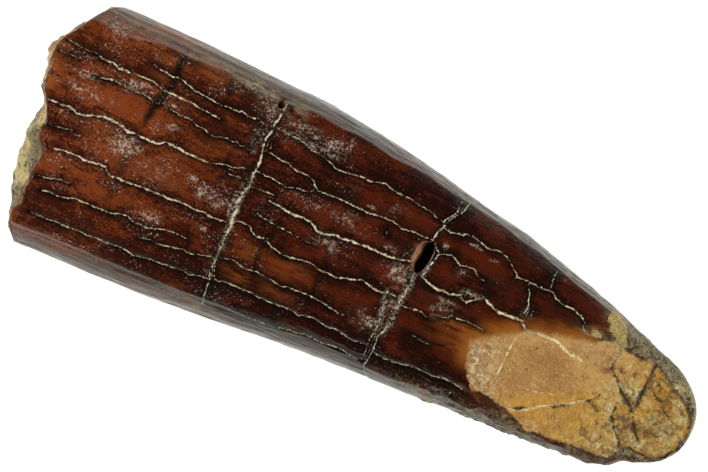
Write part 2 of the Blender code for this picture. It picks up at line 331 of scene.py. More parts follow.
# %% [markdown]
# ## Where the marks lie
# The enamel has long cracks that follow the crown and short ones that cross it, filled with pale
# sediment, and old dark stains. Each is written down as a line of chosen places, in millimetres along
# and across the tooth, with its half width and how pale its filling is. Later each point of the fine
# mesh is told the way to its nearest line, and the material draws the line from that.

# %% Long cracks before the first cross crack
LONG_CRACKS = [
    (0.022, 0.55, ((0.26, 2.97), (1.32, 2.94), (1.79, 3.02))),
    (0.040, 0.95, ((1.79, 3.02), (1.89, 2.94), (2.21, 2.92), (2.42, 2.97), (2.63, 2.91), (2.76, 2.84), (3.0, 2.91),
                   (3.16, 2.86), (3.42, 2.96), (3.74, 2.92), (4.0, 2.98), (4.37, 2.94), (4.63, 2.84), (4.97, 2.84),
                   (5.74, 2.84), (6.0, 2.87), (6.26, 2.79), (6.47, 2.81), (7.0, 2.77), (7.25, 2.76))),
    (0.030, 0.80, ((3.9, 3.58), (4.26, 3.52), (4.53, 3.51), (4.84, 3.47), (5.0, 3.55), (5.32, 3.51), (5.53, 3.44),
                   (5.84, 3.36), (6.16, 3.34), (6.53, 3.31), (7.0, 3.27), (7.2, 3.31), (7.47, 3.36), (7.74, 3.36),
                   (7.9, 3.44), (8.18, 3.34), (8.47, 3.42), (8.68, 3.49), (8.9, 3.33))),
    (0.022, 0.50, ((0.24, 2.44), (0.58, 2.44), (0.82, 2.49), (1.1, 2.49))),
    (0.026, 0.60, ((2.16, 2.15), (2.47, 2.26), (2.68, 2.29), (2.76, 2.42), (2.84, 2.33), (3.16, 2.31),
                   (3.47, 2.28), (3.79, 2.28), (4.05, 2.34), (4.3, 2.31), (4.58, 2.26), (4.84, 2.27))),
    (0.022, 0.62, ((5.3, 2.27), (5.74, 2.2), (6.2, 2.23), (6.37, 2.18), (6.53, 2.1), (6.79, 2.13), (7.13, 2.02),
                   (7.37, 2.05), (7.63, 2.15), (7.84, 2.2), (8.0, 2.15), (8.24, 2.26), (8.42, 2.18), (8.63, 2.23),
                   (8.82, 2.15))),
    (0.045, 1.00, ((0.42, 0.39), (0.74, 0.47), (1.1, 0.52), (1.47, 0.52), (1.63, 0.6), (1.84, 0.52), (2.1, 0.48),
                   (2.37, 0.54), (2.68, 0.68), (3.0, 0.8), (3.2, 0.84), (3.58, 0.82), (3.95, 0.8), (4.18, 0.68),
                   (4.47, 0.77), (4.79, 0.75), (5.1, 0.75), (5.47, 0.8), (5.68, 0.97), (5.95, 1.0), (6.3, 0.98),
                   (6.63, 0.96), (7.05, 0.98), (7.37, 1.01), (7.68, 0.99))),
    (0.028, 0.75, ((7.68, 0.99), (7.95, 1.13), (8.2, 1.22), (8.58, 1.26), (8.84, 1.39), (9.05, 1.45))),
    (0.030, 0.55, ((8.5, 0.97), (8.8, 0.98), (9.05, 1.03), (9.3, 1.13))),
    (0.024, 0.45, ((1.26, -0.43), (1.6, -0.35), (1.9, -0.3), (2.2, -0.2))),
    (0.038, 0.95, ((1.63, -1.22), (1.95, -1.19), (2.16, -1.11), (2.47, -1.11), (2.89, -1.06), (3.16, -1.11),
                   (3.47, -1.03), (3.74, -0.97), (4.0, -0.98), (4.13, -1.11), (4.32, -1.22), (4.63, -1.15),
                   (4.95, -1.16), (5.26, -1.11), (5.58, -1.07), (6.0, -1.03), (6.68, -1.0), (7.05, -0.97),
                   (7.53, -0.92), (8.0, -0.94), (8.32, -0.87), (8.68, -0.93), (9.0, -0.87), (9.26, -0.81),
                   (9.42, -0.76))),
    (0.030, 0.80, ((2.1, -2.93), (2.37, -2.87), (2.79, -2.87), (3.1, -2.79), (3.47, -2.64), (3.79, -2.64),
                   (4.42, -2.6), (5.0, -2.56), (5.26, -2.43), (5.63, -2.35), (5.9, -2.48), (6.1, -2.45),
                   (6.58, -2.43), (6.84, -2.32), (7.16, -2.19), (7.53, -2.14), (7.95, -2.11), (8.1, -2.13))),
    (0.030, 0.75, ((6.42, -2.9), (6.68, -2.85), (6.9, -2.8), (7.26, -2.82), (7.58, -2.74), (7.95, -2.65),
                   (8.2, -2.58), (8.37, -2.62), (8.68, -2.56), (9.0, -2.44), (9.21, -2.38), (9.47, -2.4))),
    (0.020, 0.50, ((1.63, -2.48), (2.16, -2.39), (2.37, -2.3), (2.63, -2.21), (3.0, -2.21))),
    (0.030, 0.85, ((2.0, -3.84), (2.37, -3.87), (2.79, -3.86), (3.2, -3.81), (3.63, -3.81), (4.05, -3.76),
                   (4.47, -3.76), (5.0, -3.7), (5.26, -3.71), (5.53, -3.65), (5.84, -3.61), (6.16, -3.62),
                   (6.5, -3.67), (6.84, -3.61), (7.0, -3.53), (7.42, -3.5), (7.79, -3.45), (8.16, -3.41),
                   (8.53, -3.36), (8.84, -3.36), (9.0, -3.3), (9.21, -3.24), (9.58, -3.2))),
]
print(len(LONG_CRACKS), "long cracks near the base")

# %% Long cracks between the two cross cracks
LONG_CRACKS += [
    (0.026, 0.55, ((9.35, 3.45), (9.68, 3.49), (9.89, 3.44), (10.37, 3.47), (10.74, 3.42), (11.05, 3.31),
                   (11.47, 3.28), (11.79, 3.2))),
    (0.034, 0.90, ((11.79, 3.2), (12.0, 3.13), (12.16, 3.05), (12.42, 3.04), (12.74, 3.07), (13.0, 3.14),
                   (13.37, 3.2), (13.68, 3.15), (14.0, 3.28), (14.26, 3.36), (14.53, 3.29), (14.79, 3.26),
                   (15.42, 3.28), (15.84, 3.23), (16.37, 3.19), (16.53, 3.15), (16.63, 3.05), (16.89, 3.05),
                   (17.05, 3.01))),
    (0.034, 0.85, ((9.45, 2.47), (9.68, 2.45), (9.95, 2.4), (10.47, 2.4), (10.68, 2.31), (10.89, 2.26),
                   (11.05, 2.31), (11.47, 2.28), (11.68, 2.2), (11.82, 2.02), (12.0, 1.93), (12.2, 1.93),
                   (12.47, 1.97), (12.79, 2.0), (14.0, 2.0), (14.32, 2.01), (14.68, 2.11), (15.1, 2.14),
                   (15.37, 2.12), (15.63, 2.03), (15.84, 2.07), (16.16, 2.14), (16.42, 2.12), (16.92, 2.18))),
    (0.024, 0.60, ((9.45, 1.54), (9.68, 1.54), (10.05, 1.57), (10.37, 1.52), (10.63, 1.52), (10.79, 1.49),
                   (11.05, 1.6), (11.37, 1.68), (11.63, 1.69), (11.79, 1.81))),
    (0.024, 0.60, ((9.45, 0.84), (9.63, 0.89), (9.89, 0.92), (10.2, 0.97), (10.53, 0.99))),
    (0.048, 1.00, ((10.42, 0.68), (10.95, 0.66), (11.3, 0.63), (11.68, 0.64), (12.05, 0.68), (12.26, 0.65),
                   (12.47, 0.57), (12.6, 0.44), (12.84, 0.42), (13.1, 0.49), (13.37, 0.63), (13.63, 0.6),
                   (14.0, 0.68), (14.37, 0.7), (14.74, 0.76), (15.63, 0.77), (15.95, 0.84), (16.2, 0.89),
                   (16.42, 0.97), (16.63, 0.99))),
    (0.026, 0.60, ((10.2, 0.02), (10.53, -0.03), (10.89, -0.07), (11.16, -0.11), (11.47, -0.08), (11.79, -0.11),
                   (12.2, -0.11), (12.63, -0.15))),
    (0.036, 0.92, ((9.45, -0.76), (9.58, -0.62), (9.79, -0.56), (10.16, -0.57), (10.29, -0.69), (10.47, -0.81),
                   (10.68, -0.83), (10.84, -0.78), (11.0, -0.76), (11.1, -0.86), (11.26, -0.94), (11.53, -0.97),
                   (11.74, -1.04), (12.0, -1.02), (12.32, -0.97), (12.63, -0.9), (12.95, -0.82), (13.16, -0.88),
                   (13.47, -0.94), (13.79, -0.9), (14.16, -0.92), (14.42, -0.79), (14.74, -0.69), (15.0, -0.6),
                   (15.1, -0.52), (15.37, -0.58), (15.74, -0.65), (16.1, -0.61), (16.2, -0.53), (16.84, -0.53))),
    (0.028, 0.75, ((9.63, -2.22), (9.89, -2.15), (10.2, -2.09), (10.53, -2.14), (10.79, -2.19), (11.05, -2.14),
                   (11.26, -2.11), (11.58, -2.16), (11.9, -2.15), (12.05, -2.2), (12.37, -2.22), (12.58, -2.11),
                   (12.84, -2.11), (13.26, -2.07), (13.53, -2.04), (14.0, -2.05), (14.26, -2.07), (14.58, -2.11),
                   (14.89, -2.14), (15.1, -2.11))),
    (0.034, 0.88, ((9.79, -3.08), (10.0, -3.11), (10.2, -3.02), (10.53, -3.0), (11.0, -2.99), (11.3, -2.95),
                   (11.68, -2.99), (12.2, -2.98), (12.63, -2.94), (13.05, -2.88), (13.47, -2.94), (13.63, -2.85),
                   (14.0, -2.79), (14.3, -2.79), (14.58, -2.85), (15.0, -2.77), (15.37, -2.82), (15.84, -2.86),
                   (16.37, -2.78), (16.66, -2.84))),
    (0.026, 0.60, ((10.47, -3.9), (11.05, -3.88), (11.3, -3.85), (11.58, -3.83), (12.0, -3.78), (12.74, -3.74),
                   (13.0, -3.64), (13.37, -3.57), (13.68, -3.55), (14.0, -3.47), (14.84, -3.46), (15.1, -3.39),
                   (15.63, -3.34), (15.95, -3.39), (16.26, -3.41), (16.5, -3.34))),
]
print(len(LONG_CRACKS), "long cracks so far")

# %% Long cracks between the second cross crack and the facet
LONG_CRACKS += [
    (0.034, 0.85, ((17.1, 2.8), (17.47, 2.76), (17.68, 2.84), (17.95, 2.86), (18.05, 3.01), (18.32, 3.01),
                   (18.58, 2.93), (18.84, 2.89), (19.05, 2.82), (19.32, 2.87), (19.53, 2.93), (19.79, 2.87),
                   (20.05, 2.78), (20.26, 2.6), (20.52, 2.44), (20.63, 2.31), (20.79, 2.34), (21.16, 2.38),
                   (21.53, 2.36), (21.79, 2.38), (22.0, 2.42), (22.21, 2.39), (22.34, 2.26), (22.63, 2.17),
                   (22.95, 2.15), (23.21, 2.18), (23.37, 2.08), (23.58, 2.05), (23.74, 1.92), (23.89, 1.81))),
    (0.030, 0.75, ((17.42, 1.78), (17.74, 1.92), (17.92, 1.94), (18.16, 1.84), (18.34, 1.71), (18.58, 1.81),
                   (18.95, 1.85), (19.1, 1.73), (19.26, 1.61), (19.5, 1.6))),
    (0.058, 1.00, ((17.21, 0.65), (17.42, 0.57), (17.63, 0.49), (17.84, 0.44), (18.16, 0.49), (18.42, 0.48),
                   (18.68, 0.57), (18.92, 0.65))),
    (0.040, 0.95, ((18.92, 0.65), (19.0, 0.55), (19.18, 0.47), (19.37, 0.63), (19.53, 0.78), (19.68, 0.94))),
    (0.064, 1.00, ((19.68, 0.94), (19.79, 1.02), (19.95, 0.92), (20.2, 0.81), (20.58, 0.73), (20.95, 0.77),
                   (21.32, 0.8), (21.53, 0.84), (21.63, 0.71), (21.79, 0.6), (22.0, 0.57))),
    (0.030, 0.70, ((18.32, -0.53), (18.58, -0.51), (18.84, -0.4), (18.95, -0.19), (19.0, -0.27), (19.3, -0.24),
                   (19.58, -0.2), (20.0, -0.2), (20.32, -0.21))),
    (0.024, 0.55, ((16.87, -0.74), (17.2, -0.76), (17.53, -0.66), (17.79, -0.65), (18.05, -0.76))),
    (0.024, 0.60, ((17.58, -1.69), (18.0, -1.66), (18.3, -1.7), (18.68, -1.69))),
    (0.036, 0.85, ((16.71, -2.9), (17.0, -2.98), (17.42, -2.98), (17.74, -2.94), (18.05, -2.88), (18.37, -2.81),
                   (18.68, -2.77), (19.05, -2.74), (19.47, -2.74), (19.79, -2.66), (20.16, -2.67), (20.47, -2.72),
                   (20.79, -2.69))),
    (0.024, 0.60, ((19.8, -3.02), (20.0, -2.95), (20.25, -3.05), (20.15, -3.12))),
]
print(len(LONG_CRACKS), "long cracks in all on the inner side")

# %% Cross cracks and branches
CROSS_CRACKS = [
    (0.060, 0.80, ((9.34, 4.40), (9.37, 4.39), (9.34, 4.07), (9.34, 3.81), (9.27, 3.6), (9.3, 3.34), (9.29, 3.13),
                   (9.21, 2.86), (9.27, 2.55), (9.32, 2.34), (9.39, 2.02), (9.43, 1.7), (9.39, 1.39),
                   (9.45, 1.07), (9.45, 0.81))),
    (0.075, 0.85, ((9.45, 0.81), (9.34, 0.55), (9.34, 0.34), (9.29, 0.02), (9.42, -0.19), (9.42, -0.6),
                   (9.47, -0.93), (9.47, -1.4))),
    (0.050, 0.65, ((9.47, -1.4), (9.5, -1.77), (9.53, -2.19), (9.53, -2.5), (9.5, -2.77), (9.63, -3.19),
                   (9.71, -3.61), (9.76, -3.87), (9.82, -4.24))),
    (0.022, 0.55, ((9.56, -2.5), (9.68, -2.77), (9.79, -3.08))),
    (0.034, 0.70, ((17.58, 4.3), (17.63, 3.94), (17.53, 3.65), (17.40, 3.46))),
    (0.036, 0.80, ((17.40, 4.3), (17.32, 3.97), (17.34, 3.6), (17.21, 3.34), (17.05, 3.13), (17.03, 3.01))),
    (0.030, 0.70, ((17.37, 3.49), (17.3, 3.28), (17.17, 3.07))),
    (0.075, 0.80, ((17.13, 2.90), (17.05, 2.7), (16.97, 2.44), (16.94, 2.18))),
    (0.055, 0.80, ((17.0, 2.02), (17.21, 1.92), (17.42, 1.78), (17.37, 1.55), (17.29, 1.23), (17.23, 0.97),
                   (17.2, 0.72))),
    (0.026, 0.65, ((16.42, 2.12), (16.42, 1.85))),
    (0.026, 0.60, ((16.1, 0.97), (16.22, 1.2), (16.37, 1.45))),
    (0.040, 0.80, ((16.87, 0.7), (16.84, 0.49), (16.89, 0.34), (16.92, 0.13), (16.87, -0.14), (16.84, -0.45),
                   (16.82, -0.82), (16.82, -1.14), (16.87, -1.5), (16.79, -1.82), (16.74, -2.06), (16.65, -2.19),
                   (16.65, -2.4), (16.70, -2.66), (16.73, -2.98), (16.68, -3.29), (16.66, -3.5), (16.74, -3.71),
                   (16.92, -3.9), (17.0, -3.98))),
    (0.026, 0.65, ((16.2, -0.45), (16.24, -0.66), (16.3, -0.98), (16.37, -1.29), (16.45, -1.66), (16.46, -1.93),
                   (16.43, -2.35), (16.41, -2.66), (16.48, -2.98), (16.46, -3.29))),
    (0.028, 0.75, ((22.0, 2.42), (21.97, 2.65), (21.92, 2.97), (21.97, 3.23), (22.0, 3.34))),
    (0.028, 0.75, ((21.13, 2.36), (21.2, 2.13), (21.34, 1.89), (21.4, 1.68), (21.53, 1.44), (21.47, 1.18),
                   (21.45, 0.89))),
    (0.018, 0.55, ((21.76, 1.36), (21.76, 1.1), (21.7, 0.89))),
    (0.026, 0.80, ((18.92, 0.65), (18.92, 0.84), (19.1, 0.9), (19.47, 0.86), (19.68, 0.94))),
    (0.022, 0.60, ((8.86, 2.75), (8.80, 2.5), (8.83, 2.2))),
    (0.022, 0.60, ((9.50, 2.80), (9.55, 2.62), (9.52, 2.44))),
    (0.022, 0.50, ((15.0, 1.74), (15.1, 1.66), (15.2, 1.53))),
    (0.024, 0.60, ((20.63, 2.31), (20.5, 2.23))),
]
print(len(CROSS_CRACKS), "cross cracks and branches")

# %% Dark lines, and the lines on the wear facet
CROSS_CRACKS += [
    (0.030, 0.75, ((21.60, 0.18), (21.58, -0.3), (21.56, -0.9), (21.6, -1.4), (21.58, -1.75), (21.5, -2.0))),
    (0.045, 0.55, ((22.3, -2.62), (22.87, -2.50), (23.3, -2.27), (23.75, -1.90), (24.2, -1.70), (24.53, -1.45),
                   (24.84, -1.22), (25.2, -0.93))),
    (0.045, 0.90, ((22.0, 0.57), (22.32, 0.63), (22.74, 0.68), (23.16, 0.68), (23.47, 0.55), (23.84, 0.44),
                   (24.2, 0.47), (24.53, 0.34))),
    (0.034, 0.90, ((21.3, -2.45), (21.7, -2.47), (22.1, -2.58), (22.5, -2.60))),
    (0.050, 0.55, ((23.79, 1.72), (23.95, 1.52), (24.2, 1.45), (24.58, 1.55), (24.74, 1.78))),
    (0.040, 0.70, ((28.0, 1.02), (27.92, 0.7), (27.8, 0.39))),
    (0.040, 0.70, ((26.6, 0.35), (26.75, 0.1), (26.95, -0.1))),
    (0.035, 0.80, ((25.95, -0.6), (26.15, -0.75), (26.3, -1.0))),
    (0.014, 0.60, ((22.9, -1.3), (23.5, -1.28), (24.1, -1.32))),
    (0.012, 0.50, ((22.4, -1.62), (23.1, -1.55), (23.6, -1.45))),
]
DARK_LINES = [
    (0.085, 0.75, ((4.95, 4.4), (4.88, 3.9), (4.92, 3.5), (4.98, 3.05), (4.82, 2.7), (4.72, 2.3), (4.68, 1.9),
                   (4.62, 1.5), (4.66, 1.15))),
    (0.090, 0.45, ((4.6, 0.5), (4.55, 0.0), (4.6, -0.5), (4.66, -1.4), (4.62, -2.4))),
    (0.070, 0.65, ((6.95, 4.35), (7.08, 3.95), (7.12, 3.4))),
    (0.070, 0.55, ((11.15, -0.15), (11.0, -0.7), (10.96, -1.3), (11.02, -1.9), (11.2, -2.5))),
    (0.080, 0.50, ((13.42, 0.2), (13.5, -0.4), (13.56, -1.5), (13.6, -2.7))),
    (0.070, 0.55, ((12.42, -3.0), (12.55, -3.4), (12.7, -3.7))),
    (0.060, 0.60, ((8.2, -2.05), (8.3, -2.25), (8.25, -2.5))),
    (0.060, 0.55, ((15.66, 1.9), (15.62, 1.5), (15.72, 1.15))),
    (0.060, 0.50, ((13.2, 2.95), (13.1, 2.5), (13.25, 2.15))),
    (0.060, 0.55, ((8.3, 1.95), (8.2, 1.5), (8.35, 0.8), (8.2, 0.2))),
    (0.045, 0.80, ((20.05, -0.25), (20.5, -0.23), (20.9, -0.18))),
    (0.060, 0.80, ((9.37, 4.97), (9.28, 4.75), (9.21, 4.55))),
    (0.070, 0.80, ((9.80, -3.15), (9.86, -3.6), (9.92, -4.1), (9.93, -4.45))),
    (0.040, 0.90, ((18.8, -1.58), (19.0, -1.52), (19.2, -1.42))),
    (0.040, 0.80, ((22.53, -2.54), (22.87, -2.42), (23.26, -2.22))),
    (0.034, 0.80, ((23.95, -1.80), (24.2, -1.72), (24.53, -1.5), (24.84, -1.27))),
    (0.036, 0.85, ((25.2, -0.98), (25.47, -0.77), (25.58, -0.61), (25.66, -0.4))),
    (0.040, 0.70, ((25.58, 1.07), (25.58, 0.65), (25.68, 0.55), (25.9, 0.42), (26.15, 0.15))),
    (0.085, 0.80, ((26.15, 0.15), (26.3, 0.02), (26.58, -0.17), (26.95, -0.4), (27.2, -0.66))),
    (0.070, 0.80, ((27.2, -0.66), (27.3, -0.98), (27.58, -1.24), (27.8, -1.5))),
    (0.034, 0.75, ((26.40, -0.45), (26.45, -1.1), (26.8, -1.5), (27.15, -1.85), (27.22, -2.3))),
    (0.030, 0.70, ((27.40, 1.18), (27.72, 1.12), (28.03, 1.05))),
    (0.030, 0.60, ((27.40, 0.62), (27.62, 0.45), (27.84, 0.37), (28.2, 0.05), (28.7, -0.2))),
    (0.040, 0.60, ((25.56, 1.55), (25.57, 1.30), (25.60, 1.05))),
    (0.050, 0.95, ((27.18, 1.86), (27.13, 1.55), (27.1, 1.13), (27.1, 0.55), (27.13, 0.02), (27.14, -0.5))),
    (0.045, 0.75, ((27.47, 1.15), (27.7, 1.13), (27.95, 1.07))),
    (0.035, 0.60, ((27.4, 0.6), (27.47, 0.34))),
    (0.030, 0.90, ((21.57, -1.58), (21.59, -1.74))),
    (0.028, 0.55, ((24.62, 0.2), (24.7, -0.1), (24.85, -0.35))),
    (0.028, 0.50, ((24.95, 0.9), (24.9, 0.5), (25.05, 0.25))),
]
print(len(DARK_LINES), "dark lines")

# %% Lines on the hidden side
HIDDEN_SEED = 7
FIRST_HIDDEN, LAST_HIDDEN = math.radians(187), math.radians(352)
HIDDEN_COUNT = 13
HIDDEN_END = 27.0
POINT_STEP = 0.3
ROUND_STEP = 2.5


def hidden_lines():
    """Seeded long cracks on the outer side, as places on the smooth crown."""
    draw = random.Random(HIDDEN_SEED)
    found = []
    for i in range(HIDDEN_COUNT):
        angle = FIRST_HIDDEN + (LAST_HIDDEN - FIRST_HIDDEN) * (i + draw.uniform(0.2, 0.8)) / HIDDEN_COUNT
        x = draw.uniform(1.5, 3.0)
        while x < HIDDEN_END - 2:
            end = min(x + draw.uniform(3.5, 8.0), HIDDEN_END)
            along = np.arange(x, end, POINT_STEP)
            if len(along) < 4:
                break
            turn = angle + 0.05 * bumps(np.stack((along, along * 0 + i, along * 0), axis=1), 1.6, 3)
            found.append((draw.uniform(0.024, 0.042), draw.uniform(0.55, 0.95), section(along, turn)))
            x = end + draw.uniform(-0.4, 1.8)
            angle += draw.uniform(-0.06, 0.06)
    return found


def round_the_back(crack, first, last):
    """The hidden part of a cross crack, between two directions in degrees."""
    angle = np.radians(np.arange(first, last, ROUND_STEP))
    return section(cross_crack_x(crack, angle), angle)


def on_skin(marks):
    """The same marks, with each line's places put on the smooth upper side."""
    return [(width, paleness, on_inner_side(*np.array(line).T)) for width, paleness, line in marks]


long_marks = on_skin(LONG_CRACKS) + hidden_lines()
cross_marks = on_skin(CROSS_CRACKS)
cross_marks += [(0.050, 0.65, round_the_back(first_crack, 205, 340)),
                (0.045, 0.75, round_the_back(second_crack, 200, 345))]
dark_marks = on_skin(DARK_LINES)
print(len(long_marks), "long,", len(cross_marks), "cross and", len(dark_marks), "dark lines in all")

# %% Soft stains, each as its place, half length, half width and strength
DUST = ((10.5, 3.85, 0.9, 0.3, 0.6), (11.8, 3.75, 0.45, 0.3, 0.9), (12.35, 3.95, 0.14, 0.35, 0.9),
        (3.8, 2.45, 0.5, 0.3, 0.8), (4.3, 0.15, 0.7, 0.45, 0.9), (1.5, 1.4, 0.8, 0.25, 0.5),
        (2.6, 1.2, 1.2, 0.45, 0.4), (5.7, 1.62, 0.35, 0.14, 0.9), (5.4, 2.35, 0.35, 0.25, 0.5),
        (8.9, 2.6, 0.3, 0.6, 0.6), (8.6, -0.1, 0.6, 0.7, 0.5), (7.85, -0.15, 0.25, 0.3, 0.9),
        (7.3, 0.17, 0.3, 0.1, 0.9), (8.5, -1.45, 0.2, 0.1, 1.0), (9.22, 0.1, 0.17, 0.7, 1.0),
        (9.42, -1.2, 0.14, 0.6, 0.7), (10.9, 3.45, 1.3, 0.2, 0.8), (10.6, 0.6, 0.6, 0.5, 0.3),
        (11.9, 1.4, 1.1, 0.5, 0.35), (13.3, 0.2, 0.9, 0.4, 0.5), (13.5, 1.3, 0.8, 0.4, 0.5),
        (16.3, 0.35, 0.6, 0.55, 0.8), (16.5, -0.8, 0.4, 0.8, 0.5), (16.1, -1.9, 0.7, 0.35, 0.8),
        (18.5, -0.1, 0.5, 0.5, 0.6), (18.6, 2.66, 0.35, 0.1, 0.9), (18.6, 1.5, 0.25, 0.2, 0.8),
        (17.5, 2.12, 0.13, 0.12, 1.0), (19.5, 2.42, 0.2, 0.08, 0.8), (14.2, 2.22, 0.2, 0.08, 0.8),
        (15.1, 2.6, 0.5, 0.3, 0.35), (15.5, 1.0, 0.5, 0.2, 0.5), (5.6, -0.3, 1.3, 0.6, 0.35),
        (6.5, -2.0, 0.6, 0.3, 0.5), (8.9, 4.0, 0.5, 0.4, 0.7), (2.0, 4.2, 1.1, 0.3, 0.5),
        (8.0, 4.35, 1.0, 0.3, 0.5), (9.45, -2.6, 0.15, 0.5, 0.5), (1.5, 2.0, 0.8, 0.15, 0.5))
SOOT = ((1.3, 2.58, 0.45, 0.25, 0.9), (1.0, 2.2, 0.7, 0.25, 0.55), (1.1, -0.35, 0.35, 0.3, 0.6),
        (2.4, 0.25, 0.9, 0.12, 0.5), (4.82, 2.5, 0.25, 0.3, 0.8), (4.6, -0.1, 0.45, 0.7, 0.5),
        (7.1, 4.1, 0.4, 0.3, 0.75), (5.05, 4.1, 0.35, 0.3, 0.8), (8.2, -2.2, 0.2, 0.25, 0.8),
        (13.3, 2.4, 0.3, 0.35, 0.7), (13.15, 1.15, 0.25, 0.25, 0.7), (15.6, 1.5, 0.14, 0.4, 0.6),
        (20.2, 1.75, 0.7, 0.5, 0.7), (20.3, 3.0, 1.0, 0.4, 0.4), (20.9, -3.0, 1.4, 0.25, 0.8),
        (12.5, -3.35, 0.3, 0.3, 0.7), (18.2, -3.25, 1.4, 0.2, 0.5), (9.92, -3.6, 0.22, 0.7, 0.85),
        (6.0, -4.1, 3.5, 0.15, 0.5), (2.5, -3.3, 1.2, 0.3, 0.45), (18.6, -1.5, 1.0, 0.25, 0.5),
        (22.8, 1.9, 1.0, 0.5, 0.5), (15.8, -2.0, 0.9, 0.3, 0.4), (17.6, -0.1, 0.7, 0.2, 0.35))
GLOW = ((19.7, -0.6, 1.1, 0.32, 1.0), (19.6, -1.25, 0.8, 0.22, 0.7), (20.9, 0.05, 0.6, 0.25, 0.9),
        (21.3, 0.3, 0.4, 0.2, 0.6), (6.3, 4.12, 0.7, 0.18, 0.6), (4.4, 3.92, 0.45, 0.2, 0.6),
        (4.4, 3.3, 0.35, 0.2, 0.5), (10.5, -1.5, 0.6, 0.4, 0.45), (12.2, -1.45, 0.9, 0.4, 0.45),
        (12.3, -2.5, 0.7, 0.25, 0.45), (10.6, -2.55, 0.6, 0.3, 0.5), (3.2, 0.42, 0.7, 0.12, 0.6),
        (0.45, 1.2, 0.28, 1.0, 1.0), (0.4, 2.6, 0.25, 0.6, 0.6), (7.6, 1.6, 0.6, 0.3, 0.3),
        (16.55, 1.45, 0.2, 0.5, 0.8), (21.0, -2.62, 0.9, 0.12, 0.5), (1.2, 3.6, 0.5, 0.3, 0.3))
DEPOSIT = ((5.1, 4.5, 0.25, 0.1, 1.0), (6.4, 4.66, 0.8, 0.2, 0.8), (7.8, 4.62, 1.0, 0.22, 1.0),
           (8.9, 4.35, 0.5, 0.3, 0.9), (9.9, 4.5, 0.4, 0.4, 0.6), (2.8, 4.6, 1.6, 0.2, 0.30),
           (17.5, 4.28, 0.18, 0.2, 0.9), (24.85, 2.45, 0.32, 0.28, 1.0), (25.15, 2.15, 0.36, 0.34, 1.0),
           (25.45, 1.7, 0.26, 0.34, 1.0), (25.58, 1.35, 0.12, 0.26, 0.9),
           (25.55, -2.98, 0.22, 0.18, 0.9), (24.3, 1.62, 0.5, 0.16, 0.8), (23.0, -3.1, 0.8, 0.2, 0.5),
           (19.5, -3.65, 0.5, 0.2, 0.8), (28.4, 1.15, 0.5, 0.2, 0.6), (26.0, 2.2, 0.9, 0.2, 0.4),
           (22.5, -2.8, 0.4, 0.2, 0.6), (21.0, -3.4, 1.2, 0.2, 0.4), (9.65, -4.4, 0.2, 0.2, 0.7))
CRUST = ((20.6, -1.25, 0.75, 0.55, 1.0), (20.9, -1.9, 0.7, 0.5, 1.0), (20.9, -0.75, 0.45, 0.25, 0.8),
         (21.3, -2.3, 0.4, 0.35, 0.9), (26.6, -2.3, 0.7, 0.5, 0.8), (27.6, -1.6, 0.4, 0.35, 0.7),
         (23.6, -2.8, 0.4, 0.15, 0.6), (26.7, 0.15, 0.42, 0.26, 1.0), (26.1, -0.7, 0.3, 0.4, 0.8),
         (25.9, -0.2, 0.25, 0.25, 0.7), (27.75, -0.75, 0.3, 0.22, 0.8), (28.6, 0.55, 0.26, 0.2, 0.7),
         (25.8, -2.6, 0.8, 0.2, 0.5), (24.3, 0.9, 0.5, 0.4, 0.35), (28.6, -0.6, 0.6, 0.8, 0.45))


def stain(places, spots):
    """How strongly the spots stain each place of the inner side, between 0 and 1."""
    total = np.zeros(len(places))
    for x, y, half_length, half_width, strength in spots:
        reach = ((places[:, 0] - x) / half_length) ** 2 + ((places[:, 1] - y) / half_width) ** 2
        total = np.maximum(total, strength * np.exp(-reach * 0.9))
    return total


print(len(DUST) + len(SOOT) + len(GLOW) + len(DEPOSIT) + len(CRUST), "stains")

# %% The wear facet's outline and plane
FACET_OUTLINE = (
    (20.15, -1.3), (20.0, -0.82), (20.3, -0.56), (20.63, -0.35), (21.0, 0.0), (21.37, 0.23), (21.68, 0.42),
    (22.0, 0.57), (22.37, 0.68), (22.74, 0.78), (23.0, 0.94), (23.42, 1.05), (23.9, 1.18), (24.42, 1.34),
    (24.74, 1.5), (25.2, 1.66), (25.68, 1.6), (25.95, 1.56), (26.63, 1.57), (26.8, 1.75), (27.0, 1.6),
    (27.37, 1.5), (27.8, 1.3), (28.3, 1.0), (28.75, 0.78), (29.15, 0.5), (29.4, 0.2), (29.5, -0.3),
    (29.48, -0.8), (29.3, -1.25), (29.0, -1.65), (28.7, -1.9), (28.2, -1.9), (27.6, -1.9), (27.4, -2.05),
    (27.25, -2.4), (27.1, -2.66), (26.58, -2.77), (26.0, -2.77), (25.37, -2.85), (25.0, -2.85), (24.0, -2.9),
    (23.6, -2.98), (23.26, -2.87), (22.84, -2.74), (22.42, -2.64), (22.05, -2.53), (21.68, -2.45),
    (21.26, -2.5), (20.95, -2.56), (20.6, -2.25), (20.3, -1.8))
FACET_X, FACET_Y, FACET_LEVEL = 20.0, -1.6, 6.79
FALL_ALONG, RISE_ACROSS = 0.183, 0.177
FAR_AWAY = 9.0


def facet_height(x, y):
    """The level of the facet's plane."""
    return FACET_LEVEL - FALL_ALONG * (x - FACET_X) + RISE_ACROSS * (y - FACET_Y)


